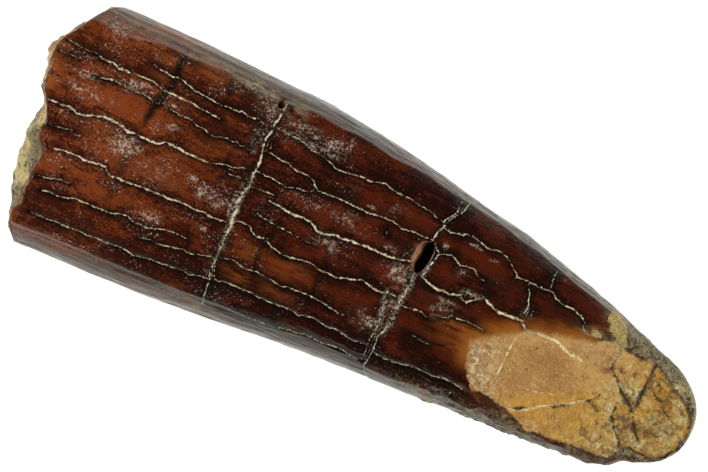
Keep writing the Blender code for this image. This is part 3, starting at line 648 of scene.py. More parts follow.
def inside_outline(places, outline):
    """The distance to the outline's nearest edge in millimetres, positive inside it."""
    nearest = np.full(len(places), FAR_AWAY)
    inside = np.zeros(len(places), bool)
    here = places[:, :2]
    corners = np.array(outline, float)
    for start, end in zip(corners, np.roll(corners, -1, axis=0)):
        way = end - start
        t = np.clip((here - start) @ way / (way @ way), 0, 1)
        nearest = np.minimum(nearest, np.linalg.norm(here - start - t[:, None] * way, axis=1))
        crosses = (start[1] > here[:, 1]) != (end[1] > here[:, 1])
        with np.errstate(divide="ignore", invalid="ignore"):
            meets = start[0] + way[0] * (here[:, 1] - start[1]) / way[1]
        inside ^= crosses & (here[:, 0] < meets)
    return np.where(inside, nearest, -nearest)


print("the facet's outline has", len(FACET_OUTLINE), "corners")

# %% [markdown]
# ## One fine mesh
# A plain grid is rolled up into a tube that is closed at both ends. Its rows run round the tooth, from
# the tip to the middle of the broken base, and they are placed so that some of them follow the two
# cross cracks exactly. Its columns run along the tooth, and more of them lie on the inner side, where
# the photograph shows the most.

# %% The grid's columns
COLUMNS = 292
INNER_SIDE_SHARE = 1.7
MEASURED_AT = 8.0
MEASURED_STEPS = 2000

full_turn = np.linspace(0, 2 * math.pi, MEASURED_STEPS + 1)
outline = section(np.full(MEASURED_STEPS + 1, MEASURED_AT), full_turn)
steps = np.linalg.norm(np.diff(outline, axis=0), axis=1)
steps *= np.where(outline[1:, 2] > widest(MEASURED_AT), INNER_SIDE_SHARE, 1.0)
reached = np.concatenate(([0.0], np.cumsum(steps)))
angles = np.interp(np.linspace(0, reached[-1], COLUMNS + 1), reached, full_turn)
angles[-1] = angles[0]
print("columns:", COLUMNS)

# %% The grid's rows
TIP_ROWS = 24
BASE_ROWS = 26
ROW_STEP = 0.098
FAR_STRETCH, MIDDLE_STRETCH, NEAR_STRETCH = 10.4, 7.0, 8.6
FIRST_CRACK_ROWS = (0.20, 0.15, 0.11, 0.07, 0.035, 0.0, -0.035, -0.07, -0.11, -0.15, -0.20)
SECOND_CRACK_ROWS = (0.30, 0.26, 0.23, 0.20, 0.16, 0.11, 0.055, 0.0, -0.055, -0.11, -0.17, -0.23, -0.29, -0.36,
                     -0.43, -0.50, -0.56, -0.62)

first_x = cross_crack_x(first_crack, angles)
second_x = cross_crack_x(second_crack, angles)
edge_x = base_edge_x(angles)


def stretch(start, end, length):
    """Even rows from one line of x values to the next, without the two lines themselves."""
    count = round(length / ROW_STEP)
    return [start + (end - start) * i / count for i in range(1, count)]


rows = [TIP_ROUNDING_START + (LENGTH - TIP_ROUNDING_START) * math.cos(math.pi / 2 * i / TIP_ROWS) + 0 * angles
        for i in range(TIP_ROWS + 1)]
rows += stretch(rows[-1], second_x + SECOND_CRACK_ROWS[0], FAR_STRETCH)
rows += [second_x + offset for offset in SECOND_CRACK_ROWS]
rows += stretch(second_x + SECOND_CRACK_ROWS[-1], first_x + FIRST_CRACK_ROWS[0], MIDDLE_STRETCH)
rows += [first_x + offset for offset in FIRST_CRACK_ROWS]
rows += stretch(first_x + FIRST_CRACK_ROWS[-1], edge_x, NEAR_STRETCH)
crown_rows = len(rows)
angle_table = np.tile(angles, (crown_rows, 1))
smooth_crown = section(np.array(rows), angle_table)
print("rows on the crown:", crown_rows)

# %% The rows of the broken base
PULP_HOLLOW_DEPTH = 0.6
PULP_HOLLOW_INNER_SIZE, PULP_HOLLOW_OUTER_SIZE = 0.15, 0.75
BASE_ROUGHNESS, ROUGHNESS_SIZE = 0.22, 2.2
ROUGHNESS_AT = 7.0

base_rim = section(edge_x, angles)
fractions = np.linspace(1, 0, BASE_ROWS + 1)
middle_y, middle_z = float(left_edge(1) + right_edge(1)) / 2, float(widest(0))
base_y = middle_y + (base_rim[:, 1] - middle_y) * fractions[:, None]
base_z = middle_z + (base_rim[:, 2] - middle_z) * fractions[:, None]
outwards = (fractions - PULP_HOLLOW_INNER_SIZE) / (PULP_HOLLOW_OUTER_SIZE - PULP_HOLLOW_INNER_SIZE)
hollow = (PULP_HOLLOW_DEPTH * (1 - ease(outwards)))[:, None]
base_places = np.stack((ROUGHNESS_AT + 0 * base_y, base_y, base_z), axis=-1)
rough = bumps(base_places.reshape(-1, 3), ROUGHNESS_SIZE).reshape(base_y.shape)
base_surface = base_x(base_y, base_z) + hollow + BASE_ROUGHNESS * rough * ease((1 - fractions) * 4)[:, None]
smooth_base = np.stack((base_surface, base_y, base_z), axis=-1)
from_rim = np.linalg.norm(smooth_base - smooth_base[0], axis=-1)

smooth = np.concatenate((smooth_crown, smooth_base)).reshape(-1, 3)
on_base = np.arange(len(smooth)) >= smooth_crown.size // 3
on_crown = ~on_base
upper_side = np.concatenate((np.sin(angle_table), np.tile(np.sin(angles), (BASE_ROWS + 1, 1)))).ravel() > 0
on_upper = upper_side & on_crown
row_count = crown_rows + BASE_ROWS + 1
print("points:", len(smooth), "faces:", (row_count - 1) * COLUMNS)

# %% [markdown]
# Each point of the mesh now looks for its nearest line of each kind. It keeps the way there and the
# distance. The way turns round as it crosses the line, so between two points of the mesh it passes
# exactly through nothing where the line runs, and the line stays sharp even between the points.

# %% The way from each point to the nearest line
MARK_REACH = 0.7
END_TAPER = 0.4
END_WIDTH, END_PALENESS = 0.45, 0.6


def nearest_marks(marks):
    """For each point the way to the nearest line, and its distance, half width and paleness."""
    way = np.full((len(smooth), 3), MARK_REACH)
    look = np.zeros((len(smooth), 3))
    look[:, 0] = MARK_REACH
    crown = np.flatnonzero(on_crown)
    for half_width, paleness, line in marks:
        low, high = line.min(axis=0) - MARK_REACH, line.max(axis=0) + MARK_REACH
        near = crown[np.all((smooth[crown] > low) & (smooth[crown] < high), axis=1)]
        here = smooth[near]
        run = np.concatenate(([0.0], np.cumsum(np.linalg.norm(np.diff(line, axis=0), axis=1))))
        for i in range(len(line) - 1):
            step = line[i + 1] - line[i]
            t = np.clip((here - line[i]) @ step / (step @ step), 0, 1)
            off = line[i] + t[:, None] * step - here
            distance = np.linalg.norm(off, axis=1)
            closer = distance < look[near, 0]
            at = near[closer]
            from_start = run[i] + t[closer] * (run[i + 1] - run[i])
            taper = np.minimum(np.minimum(from_start, run[-1] - from_start) / END_TAPER, 1)
            way[at] = off[closer]
            look[at] = np.stack((distance[closer], half_width * (END_WIDTH + (1 - END_WIDTH) * taper),
                                 paleness * (END_PALENESS + (1 - END_PALENESS) * taper)), axis=1)
    return way, look


long_way, long_look = nearest_marks(long_marks)
cross_way, cross_look = nearest_marks(cross_marks)
dark_way, dark_look = nearest_marks(dark_marks)
print("points within 0.1 mm of a long crack:", int((long_look[:, 0] < 0.1).sum()))

# %% [markdown]
# ## Carving
# The smooth crown gets the enamel's slow waves, fine wrinkles along it, a low shoulder along each side,
# shallow valleys and grooves where the cracks run, and lumps of crust along the lower edge and the tip.

# %% The two shoulders, as places along and across the tooth
UPPER_SHOULDER = (
    (1.05, 4.02), (2.68, 4.05), (3.37, 4.2), (4.0, 4.34), (5.3, 4.36), (6.0, 4.4), (6.53, 4.5), (7.0, 4.42),
    (7.53, 4.28), (8.0, 4.28), (8.95, 4.34), (9.7, 4.47), (10.1, 4.57), (10.6, 4.57), (11.8, 4.47),
    (12.3, 4.52), (13.0, 4.47), (14.0, 4.31), (15.6, 4.34), (16.4, 4.18), (17.37, 4.05), (17.74, 4.02),
    (19.0, 3.81), (20.0, 3.57), (21.0, 3.47), (22.0, 3.23), (22.95, 2.97), (23.7, 2.81), (24.53, 2.6),
    (24.95, 2.55), (25.4, 2.2), (28.0, 1.5))
LOWER_SHOULDER = (
    (1.95, -4.4), (3.0, -4.3), (5.0, -4.24), (7.0, -4.08), (9.0, -3.98), (10.0, -3.87), (12.0, -3.79),
    (13.0, -3.7), (14.0, -3.53), (16.0, -3.43), (17.0, -3.5), (18.0, -3.45), (19.0, -3.3), (20.0, -3.24),
    (22.0, -3.14), (27.0, -2.9))
SHOULDER_HEIGHT, SHOULDER_INNER, SHOULDER_OUTER = 0.11, 0.30, 0.15
SHOULDER_END, SHOULDER_FADE = 27, 2

at_x, at_y, at_z = smooth.T
past_shoulders = (at_y - np.interp(at_x, *np.array(UPPER_SHOULDER).T),
                  np.interp(at_x, *np.array(LOWER_SHOULDER).T) - at_y)
print("points past a shoulder:", int((np.maximum(*past_shoulders) > 0)[on_upper].sum()))

# %% How far each point rises or sinks
ENAMEL_UNEVENNESS, UNEVENNESS_SIZE = 0.05, 3.0
VALLEY_DEPTH, VALLEY_HALF_WIDTH = 0.05, 0.45
GROOVE_DEPTH, GROOVE_HALF_WIDTH, GROOVE_LINE = 0.035, 0.09, 0.04
CROSS_GROOVE_DEPTH, CROSS_GROOVE_HALF_WIDTH, CROSS_GROOVE_LINE = 0.03, 0.14, 0.06
FLAT_WRINKLES, STEEP_WRINKLES, WRINKLE_SIZE = 0.003, 0.027, (5.0, 0.15, 0.15)
FINE_ROUGHNESS, FINE_SIZE = 0.010, 0.45
SIDE_CRUST, TIP_CRUST, CRUST_SIZE = 0.10, 0.07, 0.42
SIDE_CRUST_START, SIDE_CRUST_ACROSS, TIP_CRUST_START = 18.5, -2.5, 25.2
FADING_HEIGHT = 3.0


def beside(look, half_width):
    """1 on the nearest line, falling to 0 at this distance from it."""
    return 1 - ease(look[:, 0] / half_width)


middle_line = np.stack((at_x, (left_edge(at_x) + right_edge(at_x)) / 2, widest(at_x)), axis=1)
outward = smooth - middle_line
outward /= np.maximum(np.linalg.norm(outward, axis=1), 1e-6)[:, None]
outward[on_base] = (-1, 0, 0)

rise = ENAMEL_UNEVENNESS * bumps(smooth, UNEVENNESS_SIZE)
rise -= VALLEY_DEPTH * beside(long_look, VALLEY_HALF_WIDTH)
rise -= GROOVE_DEPTH * beside(long_look, GROOVE_HALF_WIDTH) * (long_look[:, 1] / GROOVE_LINE)
rise -= CROSS_GROOVE_DEPTH * beside(cross_look, CROSS_GROOVE_HALF_WIDTH) * (cross_look[:, 1] / CROSS_GROOVE_LINE)
steepness = np.where(upper_side, ease(np.maximum(*past_shoulders) / 0.2 + 0.3),
                     ease((np.abs(outward[:, 1]) - 0.55) / 0.3))
rise += bumps(smooth, WRINKLE_SIZE, 3) * (FLAT_WRINKLES + STEEP_WRINKLES * steepness)
for past in past_shoulders:
    ridge = np.exp(-np.abs(past) / np.where(past > 0, SHOULDER_OUTER, SHOULDER_INNER))
    rise += SHOULDER_HEIGHT * ridge * np.clip((SHOULDER_END - at_x) / SHOULDER_FADE, 0, 1) * upper_side
rise += bumps(smooth + 20, FINE_SIZE, 3) * FINE_ROUGHNESS

over_middle = (at_z - middle_line[:, 2]) / FADING_HEIGHT
fading_down = ease(over_middle * 2.5 + 0.5) * on_crown
crust_side = np.clip(at_x - SIDE_CRUST_START, 0, 1) * soft_step(SIDE_CRUST_ACROSS - at_y, 0.5)
tip_side = ease((at_x - TIP_CRUST_START) / 1.2) * fading_down
lumps = np.maximum(bumps(smooth + 24, CRUST_SIZE, 3), -0.1)
rise += lumps * np.maximum(SIDE_CRUST * crust_side, TIP_CRUST * tip_side)
rise *= on_crown
carved = smooth + outward * rise[:, None]
print("rises between", rise.min().round(2), "and", rise.max().round(2), "mm")

# %% [markdown]
# Beside the second cross crack lies a deep pit. One of its sides is steep. The other slopes to a ledge
# before it drops. A small gap opens at the upper end of the first cross crack. The broken base is carved
# in terraces, because stony dentine breaks in steps.

# %% The pit, the gap at the first crack's end, and the broken base
PIT_CENTRE_Y, PIT_HALF_LENGTH, PIT_DEPTH = 1.36, 0.66, 1.3
PIT_STEEP_SIDE, PIT_SLOPING_SIDE, PIT_WANDER = 0.225, 0.42, 0.05
LEDGE_DEPTH, LEDGE_START, DROP_PLACE = 0.6, 0.12, 0.13
STEEP_EDGE, DROP_EDGE = 0.05, 0.10
GAP_X, GAP_Y, GAP_SIZE, GAP_DEPTH = 9.17, 4.36, 0.12, 0.45
TERRACE_HEIGHT, TERRACES, TERRACE_SIZE, TERRACE_EDGE = 0.26, 2.2, 1.5, 0.5
COARSE_BREAK, FINE_BREAK, SMOOTH_RIM = 0.10, 0.04, 0.35

from_crack = at_x - second_crack(at_y)
along_pit = np.abs(at_y - PIT_CENTRE_Y + PIT_WANDER * bumps(smooth + 4, 0.4)) / PIT_HALF_LENGTH
pit_width = np.sqrt(np.maximum(1 - along_pit**4, 0))
steep_side = soft_step(PIT_STEEP_SIDE * pit_width - from_crack, STEEP_EDGE)
slope = np.clip((from_crack + PIT_SLOPING_SIDE * pit_width) / (PIT_SLOPING_SIDE - LEDGE_START), 0, 1)
drop = soft_step(from_crack + PIT_WANDER * bumps(smooth + 3, 0.3) + DROP_PLACE * pit_width, DROP_EDGE)
sunk = LEDGE_DEPTH * slope**1.2 + (PIT_DEPTH - LEDGE_DEPTH) * drop
pit_depth = np.where(on_upper & (along_pit < 1), sunk * steep_side, 0.0)
carved[:, 2] -= pit_depth
in_pit = np.maximum(ease(pit_depth / PIT_DEPTH * 1.6 - 0.15), 0.2 * ease(pit_depth / 0.05))

from_gap = np.hypot(at_x - GAP_X, (at_y - GAP_Y) * 0.8) / GAP_SIZE
in_gap = (1 - ease(from_gap - 0.5)) * on_upper
carved -= outward * (GAP_DEPTH * in_gap)[:, None]

levels = bumps(smooth + 5, TERRACE_SIZE, 3) * TERRACES
treads = np.round(levels)
base_relief = TERRACE_HEIGHT * (treads + soft_step(levels - treads, TERRACE_EDGE) - 0.5) / TERRACES
base_relief += bumps(smooth + 7, 0.6, 3) * COARSE_BREAK + bumps(smooth + 9, 0.25) * FINE_BREAK
depth_in_base = np.zeros(len(smooth))
depth_in_base[on_base] = from_rim.ravel()
carved[:, 0] += base_relief * ease(depth_in_base / SMOOTH_RIM)
print("points in the pit:", int((in_pit > 0.5).sum()))

# %% [markdown]
# The facet is where an opposing tooth wore the crown flat, so the upper side is cut off at a sloping
# plane. Near the tip the plane is chipped and lumpy. The tooth rests on a narrow flat underneath.

# %% The wear facet and the flat rest
FACET_WAVES, FACET_RIPPLES, FACET_SINK = 0.030, 0.012, 0.03
CRUST_GRAINS, CHIP_DEPTH, CHIP_START = 0.11, 0.13, 26.6
WORN_LUMPS, WORN_LUMPS_START = 0.05, 25.0
DIRT_GROOVE_DEPTH, DIRT_GROOVE_HALF_WIDTH, DIRT_LIMIT = 0.07, 0.14, 0.6

carved[:, 2] = np.maximum(carved[:, 2], 0.0)
facet_level = facet_height(carved[:, 0], carved[:, 1])
facet_edge = np.minimum(inside_outline(smooth, FACET_OUTLINE), 0.5 - np.maximum(facet_level - carved[:, 2], 0))
facet_edge = np.where(on_upper, facet_edge, -FAR_AWAY)
crust = stain(smooth, CRUST) * fading_down
worn = FACET_WAVES * bumps(smooth + 30, 1.5) + FACET_RIPPLES * bumps(smooth + 31, 0.3) - FACET_SINK
worn += crust * (CRUST_GRAINS * np.abs(bumps(smooth + 40, 0.22)) - 0.01)
worn += ease((at_x - CHIP_START) / 0.8) * (CHIP_DEPTH * bumps(smooth + 33, 0.7, 4) - 0.04)
worn += ease((at_x - WORN_LUMPS_START) / 0.6) * WORN_LUMPS * bumps(smooth + 36, 0.45, 3)
worn -= DIRT_GROOVE_DEPTH * beside(dark_look, DIRT_GROOVE_HALF_WIDTH) * (dark_look[:, 2] > DIRT_LIMIT)
carved[:, 2] = np.where(on_upper, np.minimum(carved[:, 2], facet_level + worn), carved[:, 2])
print("points on the facet:", int((facet_edge > 0).sum()))

# %% [markdown]
# ## Roll up the grid
# The grid's own coordinates say which row and column each point belongs to. The points go to their
# carved places, the marks are stored on them as named attributes, and the seam is merged.


# %% Build the tooth's skin
def grid_mesh():
    """A flat grid of points, and for each the number of its row and column in one number."""
    made = bmesh.new()
    bmesh.ops.create_grid(made, x_segments=row_count - 1, y_segments=COLUMNS, size=0.5)
    mesh = bpy.data.meshes.new("tooth_skin")
    made.to_mesh(mesh)
    made.free()
    places = np.zeros(len(mesh.vertices) * 3, np.float32)
    mesh.vertices.foreach_get("co", places)
    places = places.reshape(-1, 3)
    row = np.rint((places[:, 0] + 0.5) * (row_count - 1)).astype(int)
    column = np.rint((places[:, 1] + 0.5) * COLUMNS).astype(int)
    return mesh, row * (COLUMNS + 1) + column


def store(mesh, name, values):
    """Keep three numbers on every point of the mesh under a name."""
    attribute = mesh.attributes.new(name, "FLOAT_VECTOR", "POINT")
    attribute.data.foreach_set("vector", np.ascontiguousarray(values, np.float32).ravel())


skin, order = grid_mesh()
world_places = (carved - np.array(MIDDLE)) * MM
skin.vertices.foreach_set("co", world_places[order].astype(np.float32).ravel())
base_depth = np.where(on_base, depth_in_base, -np.linalg.norm(smooth - np.tile(base_rim, (row_count, 1)), axis=1))
fields = {
    "long_way": long_way, "long_look": long_look, "cross_way": cross_way, "cross_look": cross_look,
    "dark_way": dark_way, "dark_look": dark_look,
    "zones": np.stack((facet_edge, base_depth, np.maximum(in_pit, in_gap)), axis=1),
    "stains": np.stack([stain(smooth, spots) * fading_down for spots in (DUST, SOOT, GLOW)], axis=1),
    "crusts": np.stack((crust, stain(smooth, DEPOSIT) * fading_down, over_middle), axis=1),
}
for name, values in fields.items():
    store(skin, name, values[order])
print("stored on the points:", ", ".join(fields))

# %% Close the seam and hand the piece over
MERGE_DISTANCE, NO_LENGTH = 1e-7, 1e-8

bm = bmesh.new()
bm.from_mesh(skin)
bmesh.ops.remove_doubles(bm, verts=bm.verts, dist=MERGE_DISTANCE)
bmesh.ops.dissolve_degenerate(bm, edges=bm.edges, dist=NO_LENGTH)
bmesh.ops.recalc_face_normals(bm, faces=bm.faces)
print("open edges:", sum(edge.is_boundary for edge in bm.edges), "volume:", round(bm.calc_volume() * 1e9), "mm3")
bm.to_mesh(skin)
bm.free()
skin.shade_smooth()
tooth = bpy.data.objects.new("tooth_skin", skin)
bpy.context.scene.collection.objects.link(tooth)
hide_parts("tooth")
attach(tooth, "root")
print(len(skin.polygons), "faces")

# %% [markdown]
# ## The finish
# The whole tooth is one material. Real fossil enamel gets its look in layers: a deep red-brown ground,
# stains that seeped in, dust and grains that stick, with pale specks that are partly painted glints, cracks
# filled with pale mud and edged with stain and painted shadow, and bare dentine where the enamel has gone.
# The nodes follow the same order, and every layer covers part of the one before.

# %% Helpers that wire the nodes
enamel = bpy.data.materials.new("fossil_enamel")
enamel.use_nodes = True
nodes, links = enamel.node_tree.nodes, enamel.node_tree.links
shader = nodes["Principled BSDF"]


def is_link(value):
    return isinstance(value, bpy.types.NodeSocket)


def feed(socket, value):
    """Link an output to an input, or set the input to a plain value. None leaves it as it is."""
    if is_link(value):
        links.new(value, socket)
    elif value is not None:
        socket.default_value = value


def node(kind, *values, **settings):
    """Add a node with these settings, and feed its inputs in order with outputs or plain values."""
    made = nodes.new("ShaderNode" + kind)
    for name, setting in settings.items():
        setattr(made, name, setting)
    for socket, value in zip(made.inputs, values):
        feed(socket, value)
    return made


def vectors(operation, *values, output=0):
    return node("VectorMath", *values, operation=operation).outputs[output]


def maths(operation, *values):
    return node("Math", *values, operation=operation).outputs[0]


def chain(operation, first, others):
    """The same sum with one value after another."""
    for other in others:
        first = maths(operation, first, other)
    return first


def times(first, *others):
    return chain("MULTIPLY", first, others)


def plus(first, *others):
    return chain("ADD", first, others)


def most(first, *others):
    return chain("MAXIMUM", first, others)


def rest_of(value):
    """What is missing to 1."""
    return maths("SUBTRACT", 1.0, value)


def around(texture, amount):
    """A pattern that swings around 0 by this much, to fray the edge of a layer."""
    return times(maths("SUBTRACT", texture, 0.5), amount)


def grow(value, start, end):
    """0 up to start and 1 from end, smooth in between; start may be the larger one."""
    if not is_link(start) and not is_link(end) and start > end:
        return rest_of(grow(value, end, start))
    return node("MapRange", value, start, end, 0.0, 1.0, interpolation_type="SMOOTHSTEP").outputs[0]


print("ready to add to", len(nodes), "nodes")

# %% Helpers that mix colours
MIX_SHARE, MIX_UNDER, MIX_OVER, MIXED = 0, 6, 7, 2


def paint(under, over, share):
    """Cover one colour with another by a share between 0 and 1."""
    mixer = node("Mix", data_type="RGBA")
    for place, value in ((MIX_SHARE, share), (MIX_UNDER, under), (MIX_OVER, over)):
        feed(mixer.inputs[place], value)
    return mixer.outputs[MIXED]


def colour(red, green, blue):
    """A colour in the numbers that paint programs show, turned into Blender's linear ones."""
    return tuple(((c / 255 + 0.055) / 1.055) ** 2.4 if c > 10 else c / 3294.6 for c in (red, green, blue)) + (1.0,)


def coats(under, *layers):
    """Lay coats over a colour: each has a tint, the pattern that shows it, from where to where, and a strength."""
    for tint, texture, start, end, strength in layers:
        under = paint(under, colour(*tint), times(grow(texture, start, end), strength))
    return under


print("colours are linear inside Blender: mid red is", round(colour(128, 0, 0)[0], 3))

# %% Places and random patterns, all in millimetres
MM_IN_A_METRE = 1000
spot = vectors("MULTIPLY_ADD", node("TexCoord").outputs["Object"], (MM_IN_A_METRE,) * 3, tuple(MIDDLE))
along, across = node("SeparateXYZ", spot).outputs[:2]


def clouded(place, scale, detail, roughness=0.5):
    """The outputs of Blender's soft random pattern."""
    texture = node("TexNoise", noise_dimensions="3D")
    for name, value in (("Vector", place), ("Scale", scale), ("Detail", detail), ("Roughness", roughness)):
        feed(texture.inputs[name], value)
    return texture.outputs


def pattern(size, detail=2.0, shift=0.0, roughness=0.55):
    """A soft random pattern around 0.5; size is its grain, or its grain along, across and up."""
    sizes = size if isinstance(size, tuple) else (size, size, size)
    place = vectors("MULTIPLY_ADD", spot, tuple(1 / s for s in sizes), (shift,) * 3)
    return clouded(place, 1.0, detail, roughness)["Fac"]


def grains(size, radius, amount, shift=0.0):
    """Round grains: amount is the share of the cells that have one."""
    cells = node("TexVoronoi", feature="F1")
    feed(cells.inputs["Vector"], vectors("MULTIPLY_ADD", spot, (1 / size,) * 3, (shift,) * 3))
    feed(cells.inputs["Scale"], 1.0)
    chance = node("SeparateXYZ", cells.outputs["Color"]).outputs[0]
    return times(grow(cells.outputs["Distance"], radius / size, 0.5 * radius / size),
                 maths("LESS_THAN", chance, amount))


def stored(name):
    """The way that was kept on the mesh under a name."""
    return node("Attribute", attribute_name=name).outputs["Vector"]


def stored_numbers(name):
    """The three numbers that were kept on the mesh under a name."""
    return node("SeparateXYZ", stored(name)).outputs


facet_in, base_in, dark_hole = stored_numbers("zones")
dusty, sooty, glowing = stored_numbers("stains")
crusty, deposited, high_up = stored_numbers("crusts")
long_far, long_wide, long_pale = stored_numbers("long_look")
cross_far, cross_wide, cross_pale = stored_numbers("cross_look")
dark_far, dark_wide, dark_strong = stored_numbers("dark_look")
upper = grow(plus(high_up, around(pattern((1.8, 0.9, 0.9), 4.0, 67.0, 0.62), 1.6)), -0.22, 0.02)
print("nodes so far:", len(nodes))

# %% [markdown]
# The enamel's ground colour is lighter in the middle of the crown's thick end, and it darkens towards the
# tip, the edges and the cracks. Slow clouds of orange and near black lie over it, with thin streaks along
# the tooth.

# %% The enamel's ground
to_tip = grow(along, 3.0, 11.5)
to_far_tip = grow(along, 13.0, 24.0)
to_edges = most(grow(across, -1.5, -3.6), times(grow(across, 2.2, 3.9), 0.75))
clouds = pattern((2.2, 0.9, 1.2), 3.0)
mottle = pattern((0.34, 0.22, 0.22), 4.0, 3.0, 0.68)
streaks = pattern((2.6, 0.10, 0.12), 2.0, 7.0)
fine = pattern(0.085, 2.0, 11.0)
from_cracks = maths("MINIMUM", long_far, cross_far)
calmer = grow(along, 9.0, 17.0)

light_enamel = paint(paint(colour(122, 57, 24), colour(80, 28, 9), to_tip), colour(68, 22, 6), to_far_tip)
dark_enamel = paint(paint(colour(56, 20, 8), colour(33, 9, 3), to_tip), colour(25, 6, 2), to_far_tip)
lightness = plus(times(grow(clouds, 0.30, 0.70), 0.9),
                 around(mottle, maths("SUBTRACT", 2.4, times(calmer, 0.9))),
                 around(fine, maths("SUBTRACT", 2.6, times(calmer, 1.9))),
                 around(streaks, 1.3),
                 times(to_edges, -0.55),
                 around(grow(from_cracks, 0.12, 0.62), 0.55))
ground = coats(
    paint(dark_enamel, light_enamel, grow(lightness, -0.2, 1.1)),
    ((16, 5, 2), mottle, 0.42, 0.26, 0.45),
    ((146, 78, 30), pattern((0.9, 0.18, 0.3), 3.0, 15.0), 0.30, 0.60, times(glowing, 0.85)))
print("nodes so far:", len(nodes))

# %% Dark stains and soot
# The near black serves the soot, and also the painted shadow beside the cracks further down.
SOOT_AND_SHADOW_BLACK, SOOT_GREY = colour(11, 6, 3), colour(30, 22, 15)
stain_edge = plus(dark_wide, times(around(pattern(0.5, 3.0, 21.0), 0.5), dark_wide))
dark_share = times(grow(dark_far, times(stain_edge, 3.4), times(stain_edge, 0.2)),
                   grow(dark_strong, 0.0, 0.8), grow(pattern(0.5, 3.0, 22.0), 0.26, 0.44))
soot_share = times(sooty, grow(pattern((0.7, 0.35, 0.4), 4.0, 23.0), 0.38, 0.56))
stained = paint(ground, SOOT_AND_SHADOW_BLACK, times(dark_share, 0.95))
stained = paint(stained, SOOT_GREY, times(soot_share, 0.85))
print("nodes so far:", len(nodes))

# %% Dust, and pale specks that are partly grains and partly painted glints
DUST_GREY, GRAIN_AND_GLINT_PINK, HAZE_BROWN = colour(170, 153, 130), colour(186, 160, 143), colour(128, 104, 84)
grit = pattern(0.07, 2.0, 30.0, 0.7)
coarse_grit = pattern(0.13, 2.0, 36.0, 0.7)
patchy = grow(pattern((0.5, 0.26, 0.3), 4.0, 31.0, 0.7), 0.42, 0.60)
gritty = most(grow(coarse_grit, 0.50, 0.58), grow(grit, 0.54, 0.62))
dust_share = times(grow(plus(dusty, times(patchy, 0.35)), 0.40, 1.05), gritty)
# The pale pink specks are partly grains of dust and partly painted glints of light in tiny pits.
speck_clouds = grow(pattern((1.4, 0.7, 0.9), 3.0, 33.0), 0.42, 0.64)
speck_field = plus(0.12, times(speck_clouds, grow(along, 21.0, 4.0), 0.75), dusty)
speckle_edge = maths("SUBTRACT", 0.72, times(speck_field, 0.13))
dust_and_glint_specks = most(grow(grit, speckle_edge, plus(speckle_edge, 0.06)),
                grow(coarse_grit, plus(speckle_edge, 0.03), plus(speckle_edge, 0.08)))
dusted = paint(stained, HAZE_BROWN, times(dusty, patchy, 0.12))
dusted = paint(dusted, DUST_GREY, times(dust_share, 0.85))
dusted = paint(dusted, GRAIN_AND_GLINT_PINK, times(dust_and_glint_specks, 0.85))
print("nodes so far:", len(nodes))

# %% [markdown]
# The cracks are drawn from the stored ways. Each way is nudged by a fine random pattern before its length
# is taken, so the line trembles as real mud-filled cracks do, and its width and paleness change along it.

# %% Draw the cracks
TREMBLE_SCALE, TREMBLE_DETAIL, TREMBLE_AMOUNT = 7.0, 2.5, 0.13
LONG_REACH, LONG_WIDTH, CROSS_REACH, CROSS_WIDTH = 0.15, 0.80, 0.20, 0.64
tremble = clouded(spot, TREMBLE_SCALE, TREMBLE_DETAIL)["Color"]
nudge = vectors("MULTIPLY", vectors("SUBTRACT", tremble, (0.5,) * 3), (TREMBLE_AMOUNT,) * 3)
width_change = plus(0.27, grow(pattern(0.22, 3.0, 41.0, 0.65), 0.30, 0.70))


def nudged(kind):
    """The trembling way to the nearest line of a kind, and its length."""
    way = vectors("ADD", stored(kind + "_way"), nudge)
    return way, vectors("LENGTH", way, output="Value")


def crack_line(off, far, wide, pale, reach, width):
    """How much of a crack's filling shows. The palest cracks are also the widest."""
    edge = times(wide, width_change, width, plus(1.0, times(grow(pale, 0.88, 0.97), 0.30)))
    line = grow(off, plus(times(edge, 1.1), 0.012), times(edge, 0.45))
    return times(line, maths("LESS_THAN", far, reach))


long_nudged, long_off = nudged("long")
cross_off = nudged("cross")[1]
dark_off = nudged("dark")[1]
long_line = crack_line(long_off, long_far, long_wide, long_pale, LONG_REACH, LONG_WIDTH)
cross_line = crack_line(cross_off, cross_far, cross_wide, cross_pale, CROSS_REACH, CROSS_WIDTH)
print("nodes so far:", len(nodes))

# %% The dark edges, stain with painted shadow on one side of each long crack, the pale filling and the dust spilt beside it
MUD_PALE, MUD_TAN = colour(222, 207, 168), colour(122, 98, 64)
# The dark edges of the cracks are partly stain and partly painted shade of their grooves. Each long crack is
# painted darker still on one side, as a shadow.
in_shade = grow(node("SeparateXYZ", long_nudged).outputs[1], -0.05, 0.05)
long_edge_stain_and_shadow = times(grow(plus(long_far, times(pattern(0.25, 2.0, 43.0), 0.16)), 0.34, 0.09),
                    plus(0.58, times(in_shade, 0.40)), grow(pattern(0.9, 2.0, 44.0), 0.26, 0.48))
cross_edge_stain_and_shadow = times(grow(plus(cross_far, times(pattern(0.3, 2.0, 45.0), 0.22)), 0.36, 0.11), 0.9)
stained_and_shadowed = paint(dusted, SOOT_AND_SHADOW_BLACK, most(long_edge_stain_and_shadow, cross_edge_stain_and_shadow))

fill = pattern(0.16, 3.0, 47.0)
mud = paint(MUD_TAN, MUD_PALE, grow(fill, 0.38, 0.57))
line_gaps = grow(pattern(0.55, 3.0, 48.0), 0.30, 0.46)
long_share = times(long_line, grow(plus(long_pale, times(line_gaps, 0.6)), 0.35, 1.10))
cross_share = times(cross_line, grow(plus(cross_pale, times(line_gaps, 0.6)), 0.30, 1.00))
spilt = times(grow(plus(cross_far, times(coarse_grit, 0.30)), 0.36, 0.20), grow(cross_pale, 0.2, 0.8),
              grow(across, 1.6, 0.4), grow(across, -2.6, -1.2), gritty, grow(line_gaps, 0.2, 0.9))
cracked = paint(stained_and_shadowed, DUST_GREY, times(spilt, 0.8))
cracked = paint(paint(cracked, mud, long_share), mud, cross_share)
print("nodes so far:", len(nodes))

# %% [markdown]
# On the facet the enamel is worn away. The dentine under it is tan and matt, more orange towards the tip,
# with fine scratches, grains of crust at its near end and dark lines where dirt sits in its cracks.

